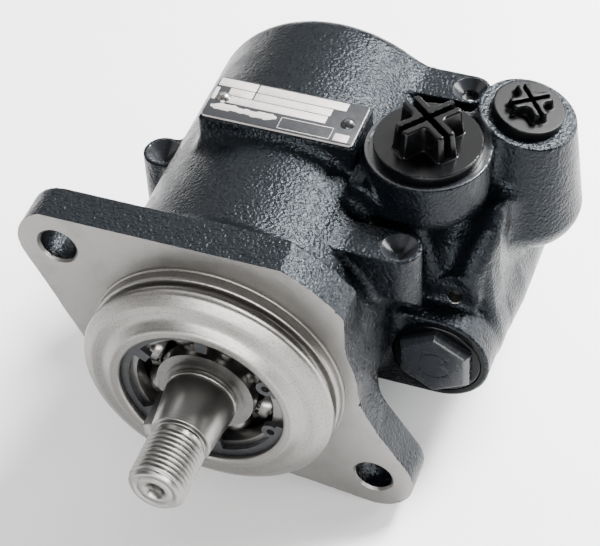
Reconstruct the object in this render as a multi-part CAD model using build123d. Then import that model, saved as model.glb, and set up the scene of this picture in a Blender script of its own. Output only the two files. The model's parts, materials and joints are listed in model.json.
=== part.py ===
"""Engine-driven hydraulic pump with a two-bolt flange, a tapered drive shaft and a built-in flow valve.

Frame, in millimetres: the shaft runs along Y with its threaded end towards -Y, the flange's mounting
face is the plane y = 0 with the pilot's centre at the origin, the inlet port looks up along +Z, and
the flow valve's bore lies on the +X side.
"""

from build123d import *
from math import cos, radians, sin, sqrt, tan
import os

# ---- fits ----------------------------------------------------------------------------------------
PRESS_FIT = 0.01  # modelled radial gap of a pressed or screwed seat
RUNNING_FIT = 0.03  # radial gap of a bearing, bush or spool
SLIDE_FIT = 0.05  # gap at each side of a plate, ring or vane that slides
LOOSE_FIT = 0.3  # gap round a piece that is only dropped or pushed in
OVERCUT = 1.0  # how far a cutting body runs past the face it opens
BIG = 200.0  # longer than anything in the pump

# ---- overall casting ---------------------------------------------------------------------------
BARREL_R = 39.2  # outer radius of the pump barrel
BARREL_X = 0.9  # the cast barrel sits this far off the shaft axis
BARREL_Z = 0.3
BARREL_END = 104.0  # rear face of the barrel
BARREL_EDGE_R = 5.5  # rounding of the rear edge
BARREL_MOUTH = 1.2  # chamfer of the rear bore's mouth

# ---- flange and pilot --------------------------------------------------------------------------
BOLT_SPACING = 108.5  # distance between the two bolt holes
BOLT_HOLE_R = 5.25
FLANGE_TILT = -36.3  # angle of the line through the bolt holes, from +X
FLANGE_T = 11.0
LOBE_R = 11.6
FLANGE_LOW_R = 37.3  # the flange's outline below the pilot
FLANGE_TOP_R = 47.3  # the flange's outline above the pilot
RIM_T = 5.5  # straight part of the upper rim before it slopes back to the barrel
RIM_BACK = 16.5  # where that slope meets the barrel
RIM_STEP = 0.6  # the slope ends this far outside the barrel
RIM_ROUND = 3.0
WALL_X = 36.5  # flat right-hand side of the flange beside the valve
WALL_SLOPE = 21.0  # slope of the right-hand lobe's upper edge, from the bolt-hole line
WALL_CORNER_R = 9.0
PILOT_R = 36.0
PILOT_H = 13.9  # the bearing rim stands this far in front of the flange
PILOT_ROOT = 0.5  # the pilot is sunk this far into the flange
PILOT_STEP_R = 36.5  # narrow step at the foot of the pilot
PILOT_STEP_H = 1.0
PILOT_GROOVE_START = 4.0  # the sealing groove, from the flange face
PILOT_GROOVE_END = 7.2
PILOT_GROOVE_R = 33.4
PILOT_LAND_END = 9.0
PILOT_FACE_R = 32.6  # outer radius of the sloping front face
PILOT_FACE_H = 11.2
PILOT_DISH_R = 29.2  # foot of the raised bearing rim
PILOT_DISH_H = 11.6
RIM_R = 26.2  # outer radius of the bearing rim's face
RIM_EDGE = 0.7  # rounding of that rim, as a chamfer

# ---- bearing (deep-groove ball bearing, 20 x 47 x 14) --------------------------------------------
BEARING_BORE_R = 10.0
BEARING_OUTER_R = 23.5
BEARING_W = 14.0
BEARING_FRONT = -10.2  # y of the bearing's front face
BALL_COUNT = 8
BALL_R = 3.97
BALL_PITCH_R = 16.75
INNER_SHOULDER_R = 13.9
OUTER_SHOULDER_R = 19.7
CAGE_T = 0.7
CAGE_HALF_W = 1.4  # half of the cage strip's radial width
CAGE_POCKET = 0.15  # gap between a ball and its pocket
CAGE_RIVET_R = 0.8
CAGE_RIVET_H = 0.6

# ---- bearing circlip -----------------------------------------------------------------------------
CLIP_T = 1.75
CLIP_GROOVE_DEPTH = 1.3
CLIP_INNER_R = 21.4  # inner radius of the plain band
CLIP_TURN = 2.0  # the gap looks this way from +X
CLIP_TOOTH_R = 17.8  # inner radius of the teeth
CLIP_TOOTH_ANGLE = 10.0
CLIP_TOOTH_PLACES = (85.0, 145.0)  # on both sides of the gap
CLIP_EYE_ANGLE = 25.0
CLIP_EYE_PITCH_R = 20.7
CLIP_EYE_R = 2.6
CLIP_EYE_HOLE_R = 1.15
CLIP_GAP_ANGLE = 15.0  # half of the gap between the ends

# ---- shaft ---------------------------------------------------------------------------------------
SHAFT_END = -45.6
THREAD_R = 8.0
THREAD_LEN = 15.4
THREAD_CHAMFER = 1.0
RELIEF_R = 6.9
RELIEF_LEN = 2.2
TAPER_RATIO = 0.1  # radius gained per millimetre, a 1:5 taper
TAPER_END = -14.4
CENTRE_HOLE_R = 1.7
CENTRE_HOLE_DEPTH = 5.0
CENTRE_CONE_R = 2.9
END_RING_R = 5.1  # turned ring in the end face
END_RING_W = 0.35
SHAFT_RING_R = 11.3
SHAFT_RING_T = 1.2
SHAFT_RING_DEPTH = 0.8
SHAFT_RING_SLOT = 5.0
SHAFT_SHOULDER_R = 12.4
SHAFT_SHOULDER_T = 1.6
SEAL_RUN_R = 9.9
PLATE_RUN_R = 9.4
SPLINE_ROOT_R = 8.3
SPLINE_TIP_R = 9.3
SPLINE_COUNT = 12
SPLINE_W = 2.2
JOURNAL_R = 7.5
JOURNAL_END = 64.5
SHAFT_CHAMFER = 0.8
KEY_W = 4.0
KEY_WHEEL_R = 6.5
KEY_H = 5.0
KEY_TOP_R = 10.9
KEY_ANGLE = 186.0  # from +X towards +Z
KEY_MIDDLE = -20.3

# ---- shaft seal ------------------------------------------------------------------------------------
SEAL_BORE_R = 16.0
SEAL_START = 5.8
SEAL_LEN = 7.0
SEAL_CASE_T = 2.0
SEAL_LIP_R = 11.6
SEAL_LIP_BACK = 3.0  # the lip's edge lies this far in front of the seal's rear face
SHAFT_HOLE_R = 11.0

# ---- pumping cartridge -----------------------------------------------------------------------------
CAVITY_R = 30.0
CAVITY_START = 19.0
FRONT_PLATE_T = 9.0
FRONT_PLATE_BORE_R = 9.6
RING_W = 26.0
BACK_PLATE_T = 14.0
SPRING_GAP = 5.0  # room for the disc spring behind the pressure plate
SPRING_T = 1.2
SPRING_OUTER_R = 26.0
SPRING_INNER_R = 12.0
COVER_T = 17.0
COVER_POCKET_R = 19.0
COVER_POCKET_DEPTH = 8.0
COVER_EDGE = 1.0
COVER_CLIP_R = 1.5  # wire radius of the cover's snap ring
COVER_CLIP_GAP = 9.0
CAM_MINOR_R = 20.8
CAM_STROKE = 2.4
CAM_TILT = 18.0  # angle of the cam's short axis
CAM_POINTS = 36
ROTOR_R = 20.6
VANE_COUNT = 10
VANE_T = 1.75
VANE_LEN = 7.0
VANE_TIP_FILLET = 0.6
VANE_REST_GAP = 0.1  # the retracted vane's tip lies this far inside the rotor's rim
UNDER_VANE_R = 1.35
PIN_R = 2.0
PIN_ORBIT = 26.6
PIN_START = 22.0
PIN_END = 60.0
PORT_R = 22.0  # middle radius of the suction and delivery windows
PORT_W = 5.0
PORT_SPAN = 38.0
PORT_LEAD = 45.0  # the windows' middles lie this far each side of the cam's short axis
PORT_DEPTH = 3.0
BUSH_T = 1.5
BUSH_LEN = 9.0
ROTOR_CLIP_T = 1.2
ROTOR_CLIP_R = 10.8
ROTOR_CLIP_DEPTH = 0.9
ROTOR_CLIP_ROOM = 0.2
O_RING_R = 1.15
O_RING_GROOVE_W = 3.0
O_RING_PLACE = 5.0  # groove's middle, from the plate's rear face
O_RING_GAP = 0.02

# ---- name plate and its pad ------------------------------------------------------------------------
PAD_TOP = 43.0
PAD_LEFT = -21.8
PAD_RIGHT = 23.0
PAD_FRONT = 48.0
PAD_BACK = 65.6
PAD_DEPTH = 14.0
PAD_CORNER_R = 1.5
PAD_EDGE_R = 0.5
PLATE_T = 0.6
PLATE_MARGIN = 0.6
PLATE_CORNER_R = 1.0
RIVET_INSET = 3.6  # from the plate's ends to the rivets
RIVET_R = 2.1
RIVET_H = 1.3
RIVET_SHANK_R = 1.2
RIVET_SHANK_LEN = 5.0

# ---- inlet port ----------------------------------------------------------------------------------
INLET_X = 41.7
INLET_Y = 56.0
INLET_FACE = 42.3
INLET_LIP = 1.2  # the boss stands this far outside the seat
INLET_BOSS_EDGE = 31.0  # height at which the boss begins to narrow
INLET_NECK_R = 13.5
INLET_NECK_LOW = 22.0
INLET_ROUND = 5.0  # rounding where the boss begins to narrow
INLET_SPOT_W = 3.8  # width of the seat round the bore
INLET_SPOT_DEPTH = 0.6
INLET_BORE_R = 12.4
INLET_BORE_DEPTH = 17.0
INLET_WELL_R = 8.0  # the cored way below the threaded bore
INLET_WELL_FLOOR = 11.0
INLET_WAY_R = 6.0  # the cored way on to the pumping chamber
INLET_WAY_Z = 18.0

# ---- outlet port -----------------------------------------------------------------------------------
OUTLET_X = 63.7
OUTLET_Y = 75.5
OUTLET_FACE = 43.4
OUTLET_TILT = 11.7
OUTLET_LIP = 6.0  # the boss stands this far outside the bore, at its face
OUTLET_DRAFT = 6.0
OUTLET_FOOT = 12.0
OUTLET_FLAT = 0.75  # height of the rounded underside, as a share of its radius
OUTLET_BORE_R = 7.4
OUTLET_BORE_DEPTH = 14.0
OUTLET_WAY_R = 3.5
DELIVERY_Y = 70.5  # cross drilling from the pressure chamber to the valve
DELIVERY_R = 2.2

# ---- flow valve ----------------------------------------------------------------------------------
VALVE_X = 52.2
VALVE_Z = -13.4
VALVE_BODY_R = 15.1
VALVE_FRONT = 31.3
VALVE_END = 97.0
VALVE_EDGE_R = 5.0
VALVE_SWELL_X = 2.0  # the rear of the casing is this much fuller towards the outlet
VALVE_SWELL_Z = 1.5
VALVE_SWELL_START = 48.0  # the swelling grows out of the casing from here
VALVE_SWELL_FULL = 62.0
VALVE_BORE_R = 9.0
VALVE_BORE_END = 90.0
VALVE_SEAT_R = 12.9
VALVE_SEAT_DEPTH = 1.4
PLUG_THREAD_R = 11.0
PLUG_THREAD_LEN = 12.0
PLUG_COLLAR_R = 12.2
PLUG_COLLAR_T = 1.6
PLUG_HEX_AF = 20.2
PLUG_HEX_FRONT = 28.2
PLUG_HEX_TURN = 30.0
PLUG_FACE_R = 4.8  # turned ring on the hexagon's face
PLUG_FACE_W = 0.35
PLUG_CHAMFER = 0.8
PLUG_NOSE_R = 6.0
PLUG_NOSE_LEN = 4.0
PLUG_SEAL_R = 0.7
SPOOL_LEN = 26.0
SPOOL_LAND = 8.0
SPOOL_WAIST_R = 6.6
SPOOL_POCKET_R = 5.0
SPOOL_POCKET_DEPTH = 8.0
VALVE_SPRING_R = 4.2
VALVE_SPRING_WIRE = 0.7
VALVE_SPRING_TURNS = 7

# ---- clamping lugs ---------------------------------------------------------------------------------
LUG_R = 6.0
LUG_EDGE_R = 0.6
LUG_CONE_R = 4.9
LUG_ROOT_X = 20.0
LUG_RIGHT_X = 42.4
LUG_RIGHT_Z = 30.5
LUG_FRONT_Y = 28.8
LUG_SLOPE_TOP = 17.0  # the front lug's face slopes back to the valve's casing below this height
LUG_REAR_Y = 94.4
LUG_REAR_T = 6.5
LUG_REAR_HOLE_R = 2.4
LUG_LEFT_ROOT_X = -25.0
LUG_LEFT_X = -41.0
LUG_LEFT_Y = 63.0
LUG_LEFT_Z = 11.0
LUG_LEFT_T = 20.0

# ---- drilling above the valve, closed by a ball ------------------------------------------------------
DRILL_X = 54.8
DRILL_Z = 4.5
DRILL_FRONT = 40.0
DRILL_BOSS_R = 6.8
DRILL_R = 2.1
DRILL_DEPTH = 30.0
DRILL_BALL_Y = 43.0

# ---- shoulder of the casting under the inlet ----------------------------------------------------------
SHOULDER_FRONT = 40.5
SHOULDER_BACK = 88.0
SHOULDER_CROWN = 27.0
SHOULDER_LEFT_CREST = [(24, 38), (28, 38), (33, 33), (39.5, 29), (44.5, 26.5), (47.5, 20), (48.3, 8)]
SHOULDER_RIGHT_CREST = [(41.5, 8), (41.5, 16.5), (45.5, 19.5), (48.5, 24.5), (54, 26)]
SHOULDER_VALLEY = [(42.0, 8), (42.0, 12), (46, 20), (52, 25)]
SHOULDER_RIGHT_X = 60.0
SHOULDER_RIGHT_T = 4.5
SHOULDER_ROUND = 2.0

# ---- transport caps ----------------------------------------------------------------------------------
CAP_SEAT_GAP = 0.02
CAP_EDGE = 0.4
CAP_SLOT_FLOOR = 0.6  # the slots stop this far above the cap's disc
INLET_CAP_RIM = 2.5  # the disc covers this much of the seat round the bore
INLET_CAP_T = 3.2
INLET_CAP_SHANK = 9.0
INLET_CAP_WALL = 1.8
INLET_CAP_GRIP_H = 8.2
INLET_CAP_ARM = 9.8
INLET_CAP_ARM_W = 6.2
INLET_CAP_SLOT_W = 2.3
INLET_CAP_TURN = 50.0
OUTLET_CAP_RIM = 2.6
OUTLET_CAP_T = 2.6
OUTLET_CAP_SHANK = 8.0
OUTLET_CAP_WALL = 1.4
OUTLET_CAP_GRIP_H = 3.0
OUTLET_CAP_ARM = 6.4
OUTLET_CAP_ARM_W = 4.4
OUTLET_CAP_SLOT_W = 1.3
OUTLET_CAP_TURN = 42.0

# ---- values worked out from the sizes above -----------------------------------------------------------
BEARING_BACK = BEARING_FRONT + BEARING_W
BEARING_MIDDLE = BEARING_FRONT + BEARING_W / 2
RING_START = CAVITY_START + FRONT_PLATE_T
RING_END = RING_START + RING_W
BACK_PLATE_END = RING_END + BACK_PLATE_T
COVER_START = BACK_PLATE_END + SPRING_GAP
COVER_END = COVER_START + COVER_T
THREAD_END = SHAFT_END + THREAD_LEN
TAPER_START = THREAD_END + RELIEF_LEN
INLET_SPOT_R = INLET_BORE_R + INLET_SPOT_W
INLET_BOSS_R = INLET_SPOT_R + INLET_LIP
OUTLET_BOSS_R = OUTLET_BORE_R + OUTLET_LIP
TAPER_SMALL_R = BEARING_BORE_R - TAPER_RATIO * (TAPER_END - TAPER_START)
BUSH_START = RING_END + ROTOR_CLIP_T + 2 * ROTOR_CLIP_ROOM
PLATE_R = CAVITY_R - SLIDE_FIT
VANE_TIP_R = ROTOR_R - VANE_REST_GAP
PLUG_COLLAR_BACK = VALVE_FRONT + VALVE_SEAT_DEPTH
PLUG_THREAD_END = PLUG_COLLAR_BACK + PLUG_THREAD_LEN
SPOOL_START = PLUG_THREAD_END + PLUG_NOSE_LEN + SLIDE_FIT
SPOOL_END = SPOOL_START + SPOOL_LEN
BOLT_PLACES = [
    (side * BOLT_SPACING / 2 * cos(radians(FLANGE_TILT)), side * BOLT_SPACING / 2 * sin(radians(FLANGE_TILT)))
    for side in (-1, 1)
]


# ---- shared shapes ------------------------------------------------------------------------------------
def y_cylinder(r, y0, y1, x=0.0, z=0.0):
    """A cylinder along Y."""
    return Pos(x, (y0 + y1) / 2, z) * Rot(90, 0, 0) * Cylinder(r, y1 - y0)


def z_cylinder(r, z0, z1, x=0.0, y=0.0):
    """A cylinder along Z."""
    return Pos(x, y, (z0 + z1) / 2) * Cylinder(r, z1 - z0)


def y_ring(r_out, r_in, y0, y1, x=0.0, z=0.0):
    """A plain ring along Y."""
    return y_cylinder(r_out, y0, y1, x, z) - y_cylinder(r_in, y0 - OVERCUT, y1 + OVERCUT, x, z)


def turned(points, x=0.0, z=0.0):
    """A turned part: (radius, y) points of half its section, spun round Y."""
    section = make_face(Polyline([(r, y) for r, y in points], close=True))
    return Pos(x, 0, z) * revolve(section, Axis.Y)


def prism(outline, y0, y1):
    """An X-Z outline extruded from y0 to y1."""
    return extrude(Plane.XZ.offset(-y0) * outline, amount=-(y1 - y0))


def around_y(shape, angle):
    """Turn a shape about Y so that +X goes towards +Z."""
    return Rot(0, -angle, 0) * shape


def y_torus(mean_r, r, y, x=0.0, z=0.0):
    """A torus round Y."""
    return Pos(x, y, z) * Rot(90, 0, 0) * Torus(mean_r, r)


def radial_box(r0, r1, width, y0, y1):
    """A box along +X from radius r0 to r1, centred on the shaft's axis."""
    return Pos((r0 + r1) / 2, (y0 + y1) / 2, 0) * Box(r1 - r0, y1 - y0, width)


def sector(angle, half_span, y0, y1, reach=BIG / 4):
    """A wedge about the shaft's axis, used to cut ring gaps and teeth."""
    tip = (reach * cos(radians(half_span)), reach * sin(radians(half_span)))
    outline = make_face(Polyline([(0, 0), tip, (tip[0], -tip[1])], close=True))
    return around_y(prism(outline, y0, y1), angle)


def cam_radius(angle):
    """Inner radius of the oval cam ring at an angle from +X, in degrees."""
    return CAM_MINOR_R + CAM_STROKE * (1 - cos(2 * radians(angle - CAM_TILT))) / 2


# ---- housing ----------------------------------------------------------------------------------------
def flange_outline():
    """The two-lobed flange, in X-Z: symmetric below, fuller above, cut flat beside the valve."""
    half = BOLT_SPACING / 2
    left = Pos(-half, 0) * Circle(LOBE_R)
    right = Pos(half, 0) * Circle(LOBE_R)
    low = make_hull([left.edge(), right.edge(), Circle(FLANGE_LOW_R).edge()])
    high = make_hull([left.edge(), Circle(FLANGE_TOP_R).edge()])
    high -= Pos(0, -BIG / 2) * Rectangle(BIG, BIG)
    body = Rot(0, 0, FLANGE_TILT) * (low + high + right)
    slope = radians(FLANGE_TILT - WALL_SLOPE)
    hole_x, hole_z = BOLT_PLACES[1]
    corner_z = (LOBE_R - (WALL_X - hole_x) * -sin(slope)) / cos(slope) + hole_z
    far = (WALL_X + BIG * cos(slope), corner_z + BIG * sin(slope))
    waste = make_face(Polyline([(WALL_X, corner_z), far, (far[0], BIG), (WALL_X, BIG)], close=True))
    corner = waste.vertices().sort_by_distance((WALL_X, corner_z))[0]
    return body - fillet(corner, WALL_CORNER_R)


def flange():
    """Flange plate, upper rim with its slope back to the barrel, and the turned pilot."""
    outline = flange_outline()
    rim_low_r = BARREL_R + RIM_STEP
    rim = turned([(0, 0), (FLANGE_TOP_R, 0), (FLANGE_TOP_R, RIM_T), (rim_low_r, RIM_BACK), (0, RIM_BACK)])
    rim = fillet(rim.edges().filter_by_position(Axis.Y, RIM_T - SLIDE_FIT, RIM_T + SLIDE_FIT), RIM_ROUND)
    pilot = turned(
        [
            (0, PILOT_ROOT),
            (PILOT_STEP_R, PILOT_ROOT),
            (PILOT_STEP_R, -PILOT_STEP_H),
            (PILOT_R, -PILOT_STEP_H),
            (PILOT_R, -PILOT_GROOVE_START),
            (PILOT_GROOVE_R, -PILOT_GROOVE_START),
            (PILOT_GROOVE_R, -PILOT_GROOVE_END),
            (PILOT_R, -PILOT_GROOVE_END),
            (PILOT_R, -PILOT_LAND_END),
            (PILOT_FACE_R, -PILOT_FACE_H),
            (PILOT_DISH_R, -PILOT_DISH_H),
            (RIM_R + RIM_EDGE, -PILOT_H + RIM_EDGE),
            (RIM_R, -PILOT_H),
            (0, -PILOT_H),
        ]
    )
    return prism(outline, 0, FLANGE_T) + (rim & prism(outline, 0, RIM_BACK)) + pilot


def lug(x, y, top, root_x, thickness):
    """A clamping lug that reaches out from the barrel, with a level top."""
    post = z_cylinder(LUG_R, top - thickness, top, x, y)
    neck = Pos((x + root_x) / 2, y, top - thickness / 2) * Box(abs(x - root_x), 2 * LUG_R, thickness)
    body = post + neck
    return fillet(body.faces().sort_by(Axis.Z)[-1].edges(), LUG_EDGE_R)


def front_lug():
    """The right-hand front lug: a column that stands on the valve's casing and slopes back to its front."""
    foot = VALVE_Z + VALVE_BODY_R - SLIDE_FIT
    column = lug(LUG_RIGHT_X, LUG_FRONT_Y, LUG_RIGHT_Z, LUG_ROOT_X, LUG_RIGHT_Z - foot)
    front = LUG_FRONT_Y - LUG_R - OVERCUT
    slope = make_face(Polyline([(front, LUG_SLOPE_TOP), (VALVE_FRONT, foot), (front, foot)], close=True))
    return column - extrude(Plane.YZ.offset(LUG_ROOT_X) * slope, amount=BIG / 4)


def lug_cone(x, y, top):
    """The conical seat cut into a lug."""
    return Pos(x, y, top - LUG_CONE_R / 2) * Cone(PRESS_FIT, LUG_CONE_R, LUG_CONE_R)


def outlet_plane(distance=0.0):
    """The outlet's sealing face, moved along the port's own axis."""
    tilt = radians(OUTLET_TILT)
    normal = Vector(sin(tilt), 0, cos(tilt))
    centre = Vector(OUTLET_X, OUTLET_Y, OUTLET_FACE) + normal * distance
    return Plane(origin=centre, x_dir=(cos(tilt), 0, -sin(tilt)), z_dir=normal)


def inlet_boss():
    """The inlet's upright boss, which narrows below like the bottom of a cup."""
    boss = z_cylinder(INLET_BOSS_R, INLET_BOSS_EDGE, INLET_FACE, INLET_X, INLET_Y)
    neck_h = INLET_BOSS_EDGE - INLET_NECK_LOW
    neck = Pos(INLET_X, INLET_Y, INLET_NECK_LOW + neck_h / 2) * Cone(INLET_NECK_R, INLET_BOSS_R, neck_h)
    foot = z_cylinder(INLET_NECK_R, 0, INLET_NECK_LOW, INLET_X, INLET_Y)
    cup = boss + neck
    edge = cup.edges().filter_by_position(Axis.Z, INLET_BOSS_EDGE - SLIDE_FIT, INLET_BOSS_EDGE + SLIDE_FIT)
    return fillet(edge, INLET_ROUND) + foot


def outlet_boss():
    """The outlet's drafted column, cut off by its tilted face and rounded underneath."""
    above = OUTLET_BOSS_R
    height = OUTLET_FACE + above - OUTLET_FOOT
    draft = tan(radians(OUTLET_DRAFT))
    foot_r = OUTLET_BOSS_R + draft * (OUTLET_FACE - OUTLET_FOOT)
    top_r = OUTLET_BOSS_R - draft * above
    column = Pos(OUTLET_X, OUTLET_Y, OUTLET_FOOT + height / 2) * Cone(foot_r, top_r, height)
    under = Pos(OUTLET_X, OUTLET_Y, OUTLET_FOOT) * scale(Sphere(foot_r), by=(1, 1, OUTLET_FLAT))
    waste = extrude(outlet_plane() * Rectangle(BIG, BIG), amount=BIG / 2)
    return column + under - waste


def valve_body():
    """The valve's round casing, fuller at the rear, and the web that joins it to the barrel."""
    tube = y_cylinder(VALVE_BODY_R, VALVE_FRONT, VALVE_END, VALVE_X, VALVE_Z)
    tube = fillet(tube.edges().sort_by(Axis.Y)[-1], VALVE_EDGE_R)
    swell_x = VALVE_X + VALVE_SWELL_X
    swell_z = VALVE_Z + VALVE_SWELL_Z
    web_end = VALVE_END - VALVE_EDGE_R
    swell_low_r = VALVE_BODY_R - VALVE_SWELL_X - VALVE_SWELL_Z
    swell = turned(
        [
            (0, VALVE_SWELL_START),
            (swell_low_r, VALVE_SWELL_START),
            (VALVE_BODY_R, VALVE_SWELL_FULL),
            (VALVE_BODY_R, web_end),
            (0, web_end),
        ],
        swell_x,
        swell_z,
    )
    swell = fillet(swell.edges().sort_by(Axis.Y)[-1], VALVE_EDGE_R)
    web = Pos((LUG_ROOT_X + VALVE_X) / 2, (VALVE_FRONT + web_end) / 2, VALVE_Z)
    web = web * Box(VALVE_X - LUG_ROOT_X, web_end - VALVE_FRONT, 2 * VALVE_BODY_R)
    return tube + swell + web


def shoulder():
    """The casting's shoulder under the inlet: a crest on each side of a valley, and the drilling's boss."""
    depth = SHOULDER_BACK - SHOULDER_FRONT
    foot = (SHOULDER_LEFT_CREST[0][0], SHOULDER_LEFT_CREST[-1][1])
    left = prism(make_face(Polyline([foot, *SHOULDER_LEFT_CREST], close=True)), SHOULDER_FRONT, INLET_Y)
    left = fillet(left.edges().filter_by(Axis.Y), SHOULDER_ROUND)
    left = fillet(left.faces().sort_by(Axis.Y)[0].edges(), SHOULDER_ROUND)

    def side_block(profile, x0, x1):
        """A block from x0 to x1 under a crest line of (y, z) points that runs level to the rear."""
        crown = profile[-1][1]
        base = profile[0][1] - SHOULDER_LEFT_CREST[-1][1]
        points = [*profile, (SHOULDER_BACK, crown), (SHOULDER_BACK, base)]
        side = extrude(Plane.YZ.offset(x0) * make_face(Polyline(points, close=True)), amount=x1 - x0)
        return fillet(side.edges().filter_by(Axis.X), SHOULDER_ROUND)

    right_x0 = SHOULDER_RIGHT_X - SHOULDER_RIGHT_T
    right = side_block(SHOULDER_RIGHT_CREST, right_x0, SHOULDER_RIGHT_X)
    right = fillet(right.faces().sort_by(Axis.X)[-1].edges(), SHOULDER_ROUND)
    valley = side_block(SHOULDER_VALLEY, INLET_X, right_x0)
    base = Pos((LUG_ROOT_X + SHOULDER_RIGHT_X) / 2, SHOULDER_FRONT + depth / 2, 0)
    base = base * Box(SHOULDER_RIGHT_X - LUG_ROOT_X, depth, 2 * SHOULDER_LEFT_CREST[-1][1])
    deck = Pos((LUG_ROOT_X + SHOULDER_RIGHT_X) / 2, (INLET_Y + SHOULDER_BACK) / 2, SHOULDER_CROWN / 2)
    deck = deck * Box(SHOULDER_RIGHT_X - LUG_ROOT_X, SHOULDER_BACK - INLET_Y, SHOULDER_CROWN)
    drilling = y_cylinder(DRILL_BOSS_R, DRILL_FRONT, SHOULDER_BACK, DRILL_X, DRILL_Z)
    return left + right + valley + base + deck + drilling


def pad():
    """The raised pad under the name plate."""
    block = Pos((PAD_LEFT + PAD_RIGHT) / 2, (PAD_FRONT + PAD_BACK) / 2, PAD_TOP - PAD_DEPTH / 2)
    block = block * Box(PAD_RIGHT - PAD_LEFT, PAD_BACK - PAD_FRONT, PAD_DEPTH)
    block = fillet(block.edges().filter_by(Axis.Z), PAD_CORNER_R)
    return fillet(block.faces().sort_by(Axis.Z)[-1].edges(), PAD_EDGE_R)


def main_bores():
    """Bearing, seal and pump cavities along the shaft, with their ring grooves."""
    cuts = y_cylinder(BEARING_OUTER_R, -PILOT_H - OVERCUT, BEARING_BACK)
    cuts += y_cylinder(SEAL_BORE_R, BEARING_BACK - OVERCUT, SEAL_START + SEAL_LEN)
    cuts += y_cylinder(SHAFT_HOLE_R, 0, CAVITY_START + OVERCUT)
    cuts += y_cylinder(CAVITY_R, CAVITY_START, BARREL_END + OVERCUT)
    cuts += turned(
        [
            (0, BARREL_END - BARREL_MOUTH),
            (CAVITY_R, BARREL_END - BARREL_MOUTH),
            (CAVITY_R + 2 * BARREL_MOUTH, BARREL_END + BARREL_MOUTH),
            (0, BARREL_END + BARREL_MOUTH),
        ]
    )
    groove_r = BEARING_OUTER_R + CLIP_GROOVE_DEPTH
    cuts += y_cylinder(groove_r, BEARING_FRONT - CLIP_T - SLIDE_FIT, BEARING_FRONT)
    cuts += y_torus(CAVITY_R, COVER_CLIP_R + LOOSE_FIT / 2, COVER_END + COVER_CLIP_R)
    return cuts


def port_bores():
    """The ports' bores and the cored and drilled ways behind them."""
    floor = INLET_FACE - INLET_BORE_DEPTH
    spot = INLET_FACE - INLET_SPOT_DEPTH
    cuts = z_cylinder(INLET_BORE_R, floor, INLET_FACE + OVERCUT, INLET_X, INLET_Y)
    cuts += z_cylinder(INLET_SPOT_R, spot, PAD_TOP + OVERCUT, INLET_X, INLET_Y)
    cuts += z_cylinder(INLET_WELL_R, INLET_WELL_FLOOR, floor + OVERCUT, INLET_X, INLET_Y)
    way_start = sqrt(CAVITY_R**2 - INLET_WAY_Z**2) - INLET_WAY_R
    way = Rot(0, 90, 0) * Cylinder(INLET_WAY_R, INLET_X - way_start)
    cuts += Pos((INLET_X + way_start) / 2, INLET_Y, INLET_WAY_Z) * way
    cuts += extrude(outlet_plane() * Circle(OUTLET_BORE_R), amount=-OUTLET_BORE_DEPTH)
    to_valve = (OUTLET_FACE - VALVE_Z) / cos(radians(OUTLET_TILT))
    cuts += extrude(outlet_plane() * Circle(OUTLET_WAY_R), amount=-to_valve)
    delivery_start = CAVITY_R - OVERCUT
    delivery = Rot(0, 90, 0) * Cylinder(DELIVERY_R, VALVE_X - delivery_start)
    cuts += Pos((VALVE_X + delivery_start) / 2, DELIVERY_Y, 0) * delivery
    return cuts


def valve_bores():
    """The flow valve's stepped bore and the ball-plugged drilling above it."""
    cuts = y_cylinder(VALVE_BORE_R, VALVE_FRONT, VALVE_BORE_END, VALVE_X, VALVE_Z)
    cuts += y_cylinder(PLUG_THREAD_R, VALVE_FRONT, PLUG_THREAD_END + SLIDE_FIT, VALVE_X, VALVE_Z)
    cuts += y_cylinder(VALVE_SEAT_R, VALVE_FRONT - OVERCUT, PLUG_COLLAR_BACK, VALVE_X, VALVE_Z)
    cuts += y_cylinder(DRILL_R, DRILL_FRONT - OVERCUT, DRILL_FRONT + DRILL_DEPTH, DRILL_X, DRILL_Z)
    return cuts


def small_holes():
    """Bolt holes, lug seats and rivet holes."""
    cuts = lug_cone(LUG_RIGHT_X, LUG_FRONT_Y, LUG_RIGHT_Z)
    cuts += lug_cone(LUG_RIGHT_X, LUG_REAR_Y, LUG_RIGHT_Z)
    cuts += lug_cone(LUG_LEFT_X, LUG_LEFT_Y, LUG_LEFT_Z)
    rear_under = LUG_RIGHT_Z - LUG_REAR_T - OVERCUT
    cuts += z_cylinder(LUG_REAR_HOLE_R, rear_under, LUG_RIGHT_Z, LUG_RIGHT_X, LUG_REAR_Y)
    for x, z in BOLT_PLACES:
        cuts += y_cylinder(BOLT_HOLE_R, -OVERCUT, FLANGE_T + OVERCUT, x, z)
    for x, y in rivet_places():
        cuts += z_cylinder(RIVET_SHANK_R, PAD_TOP - RIVET_SHANK_LEN, PAD_TOP + OVERCUT, x, y)
    return cuts


def housing():
    """The one-piece cast housing."""
    barrel = y_cylinder(BARREL_R, PILOT_ROOT, BARREL_END, BARREL_X, BARREL_Z)
    barrel = fillet(barrel.edges().sort_by(Axis.Y)[-1], BARREL_EDGE_R)
    body = barrel + flange() + valve_body() + shoulder() + inlet_boss() + outlet_boss() + pad()
    body += front_lug()
    body += lug(LUG_RIGHT_X, LUG_REAR_Y, LUG_RIGHT_Z, LUG_ROOT_X, LUG_REAR_T)
    body += lug(LUG_LEFT_X, LUG_LEFT_Y, LUG_LEFT_Z, LUG_LEFT_ROOT_X, LUG_LEFT_T)
    return body - main_bores() - port_bores() - valve_bores() - small_holes()


# ---- bearing, seal and circlips ------------------------------------------------------------------------
def raceway():
    """The groove that both bearing rings carry for the balls."""
    return y_torus(BALL_PITCH_R, BALL_R + RUNNING_FIT, BEARING_MIDDLE)


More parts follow.
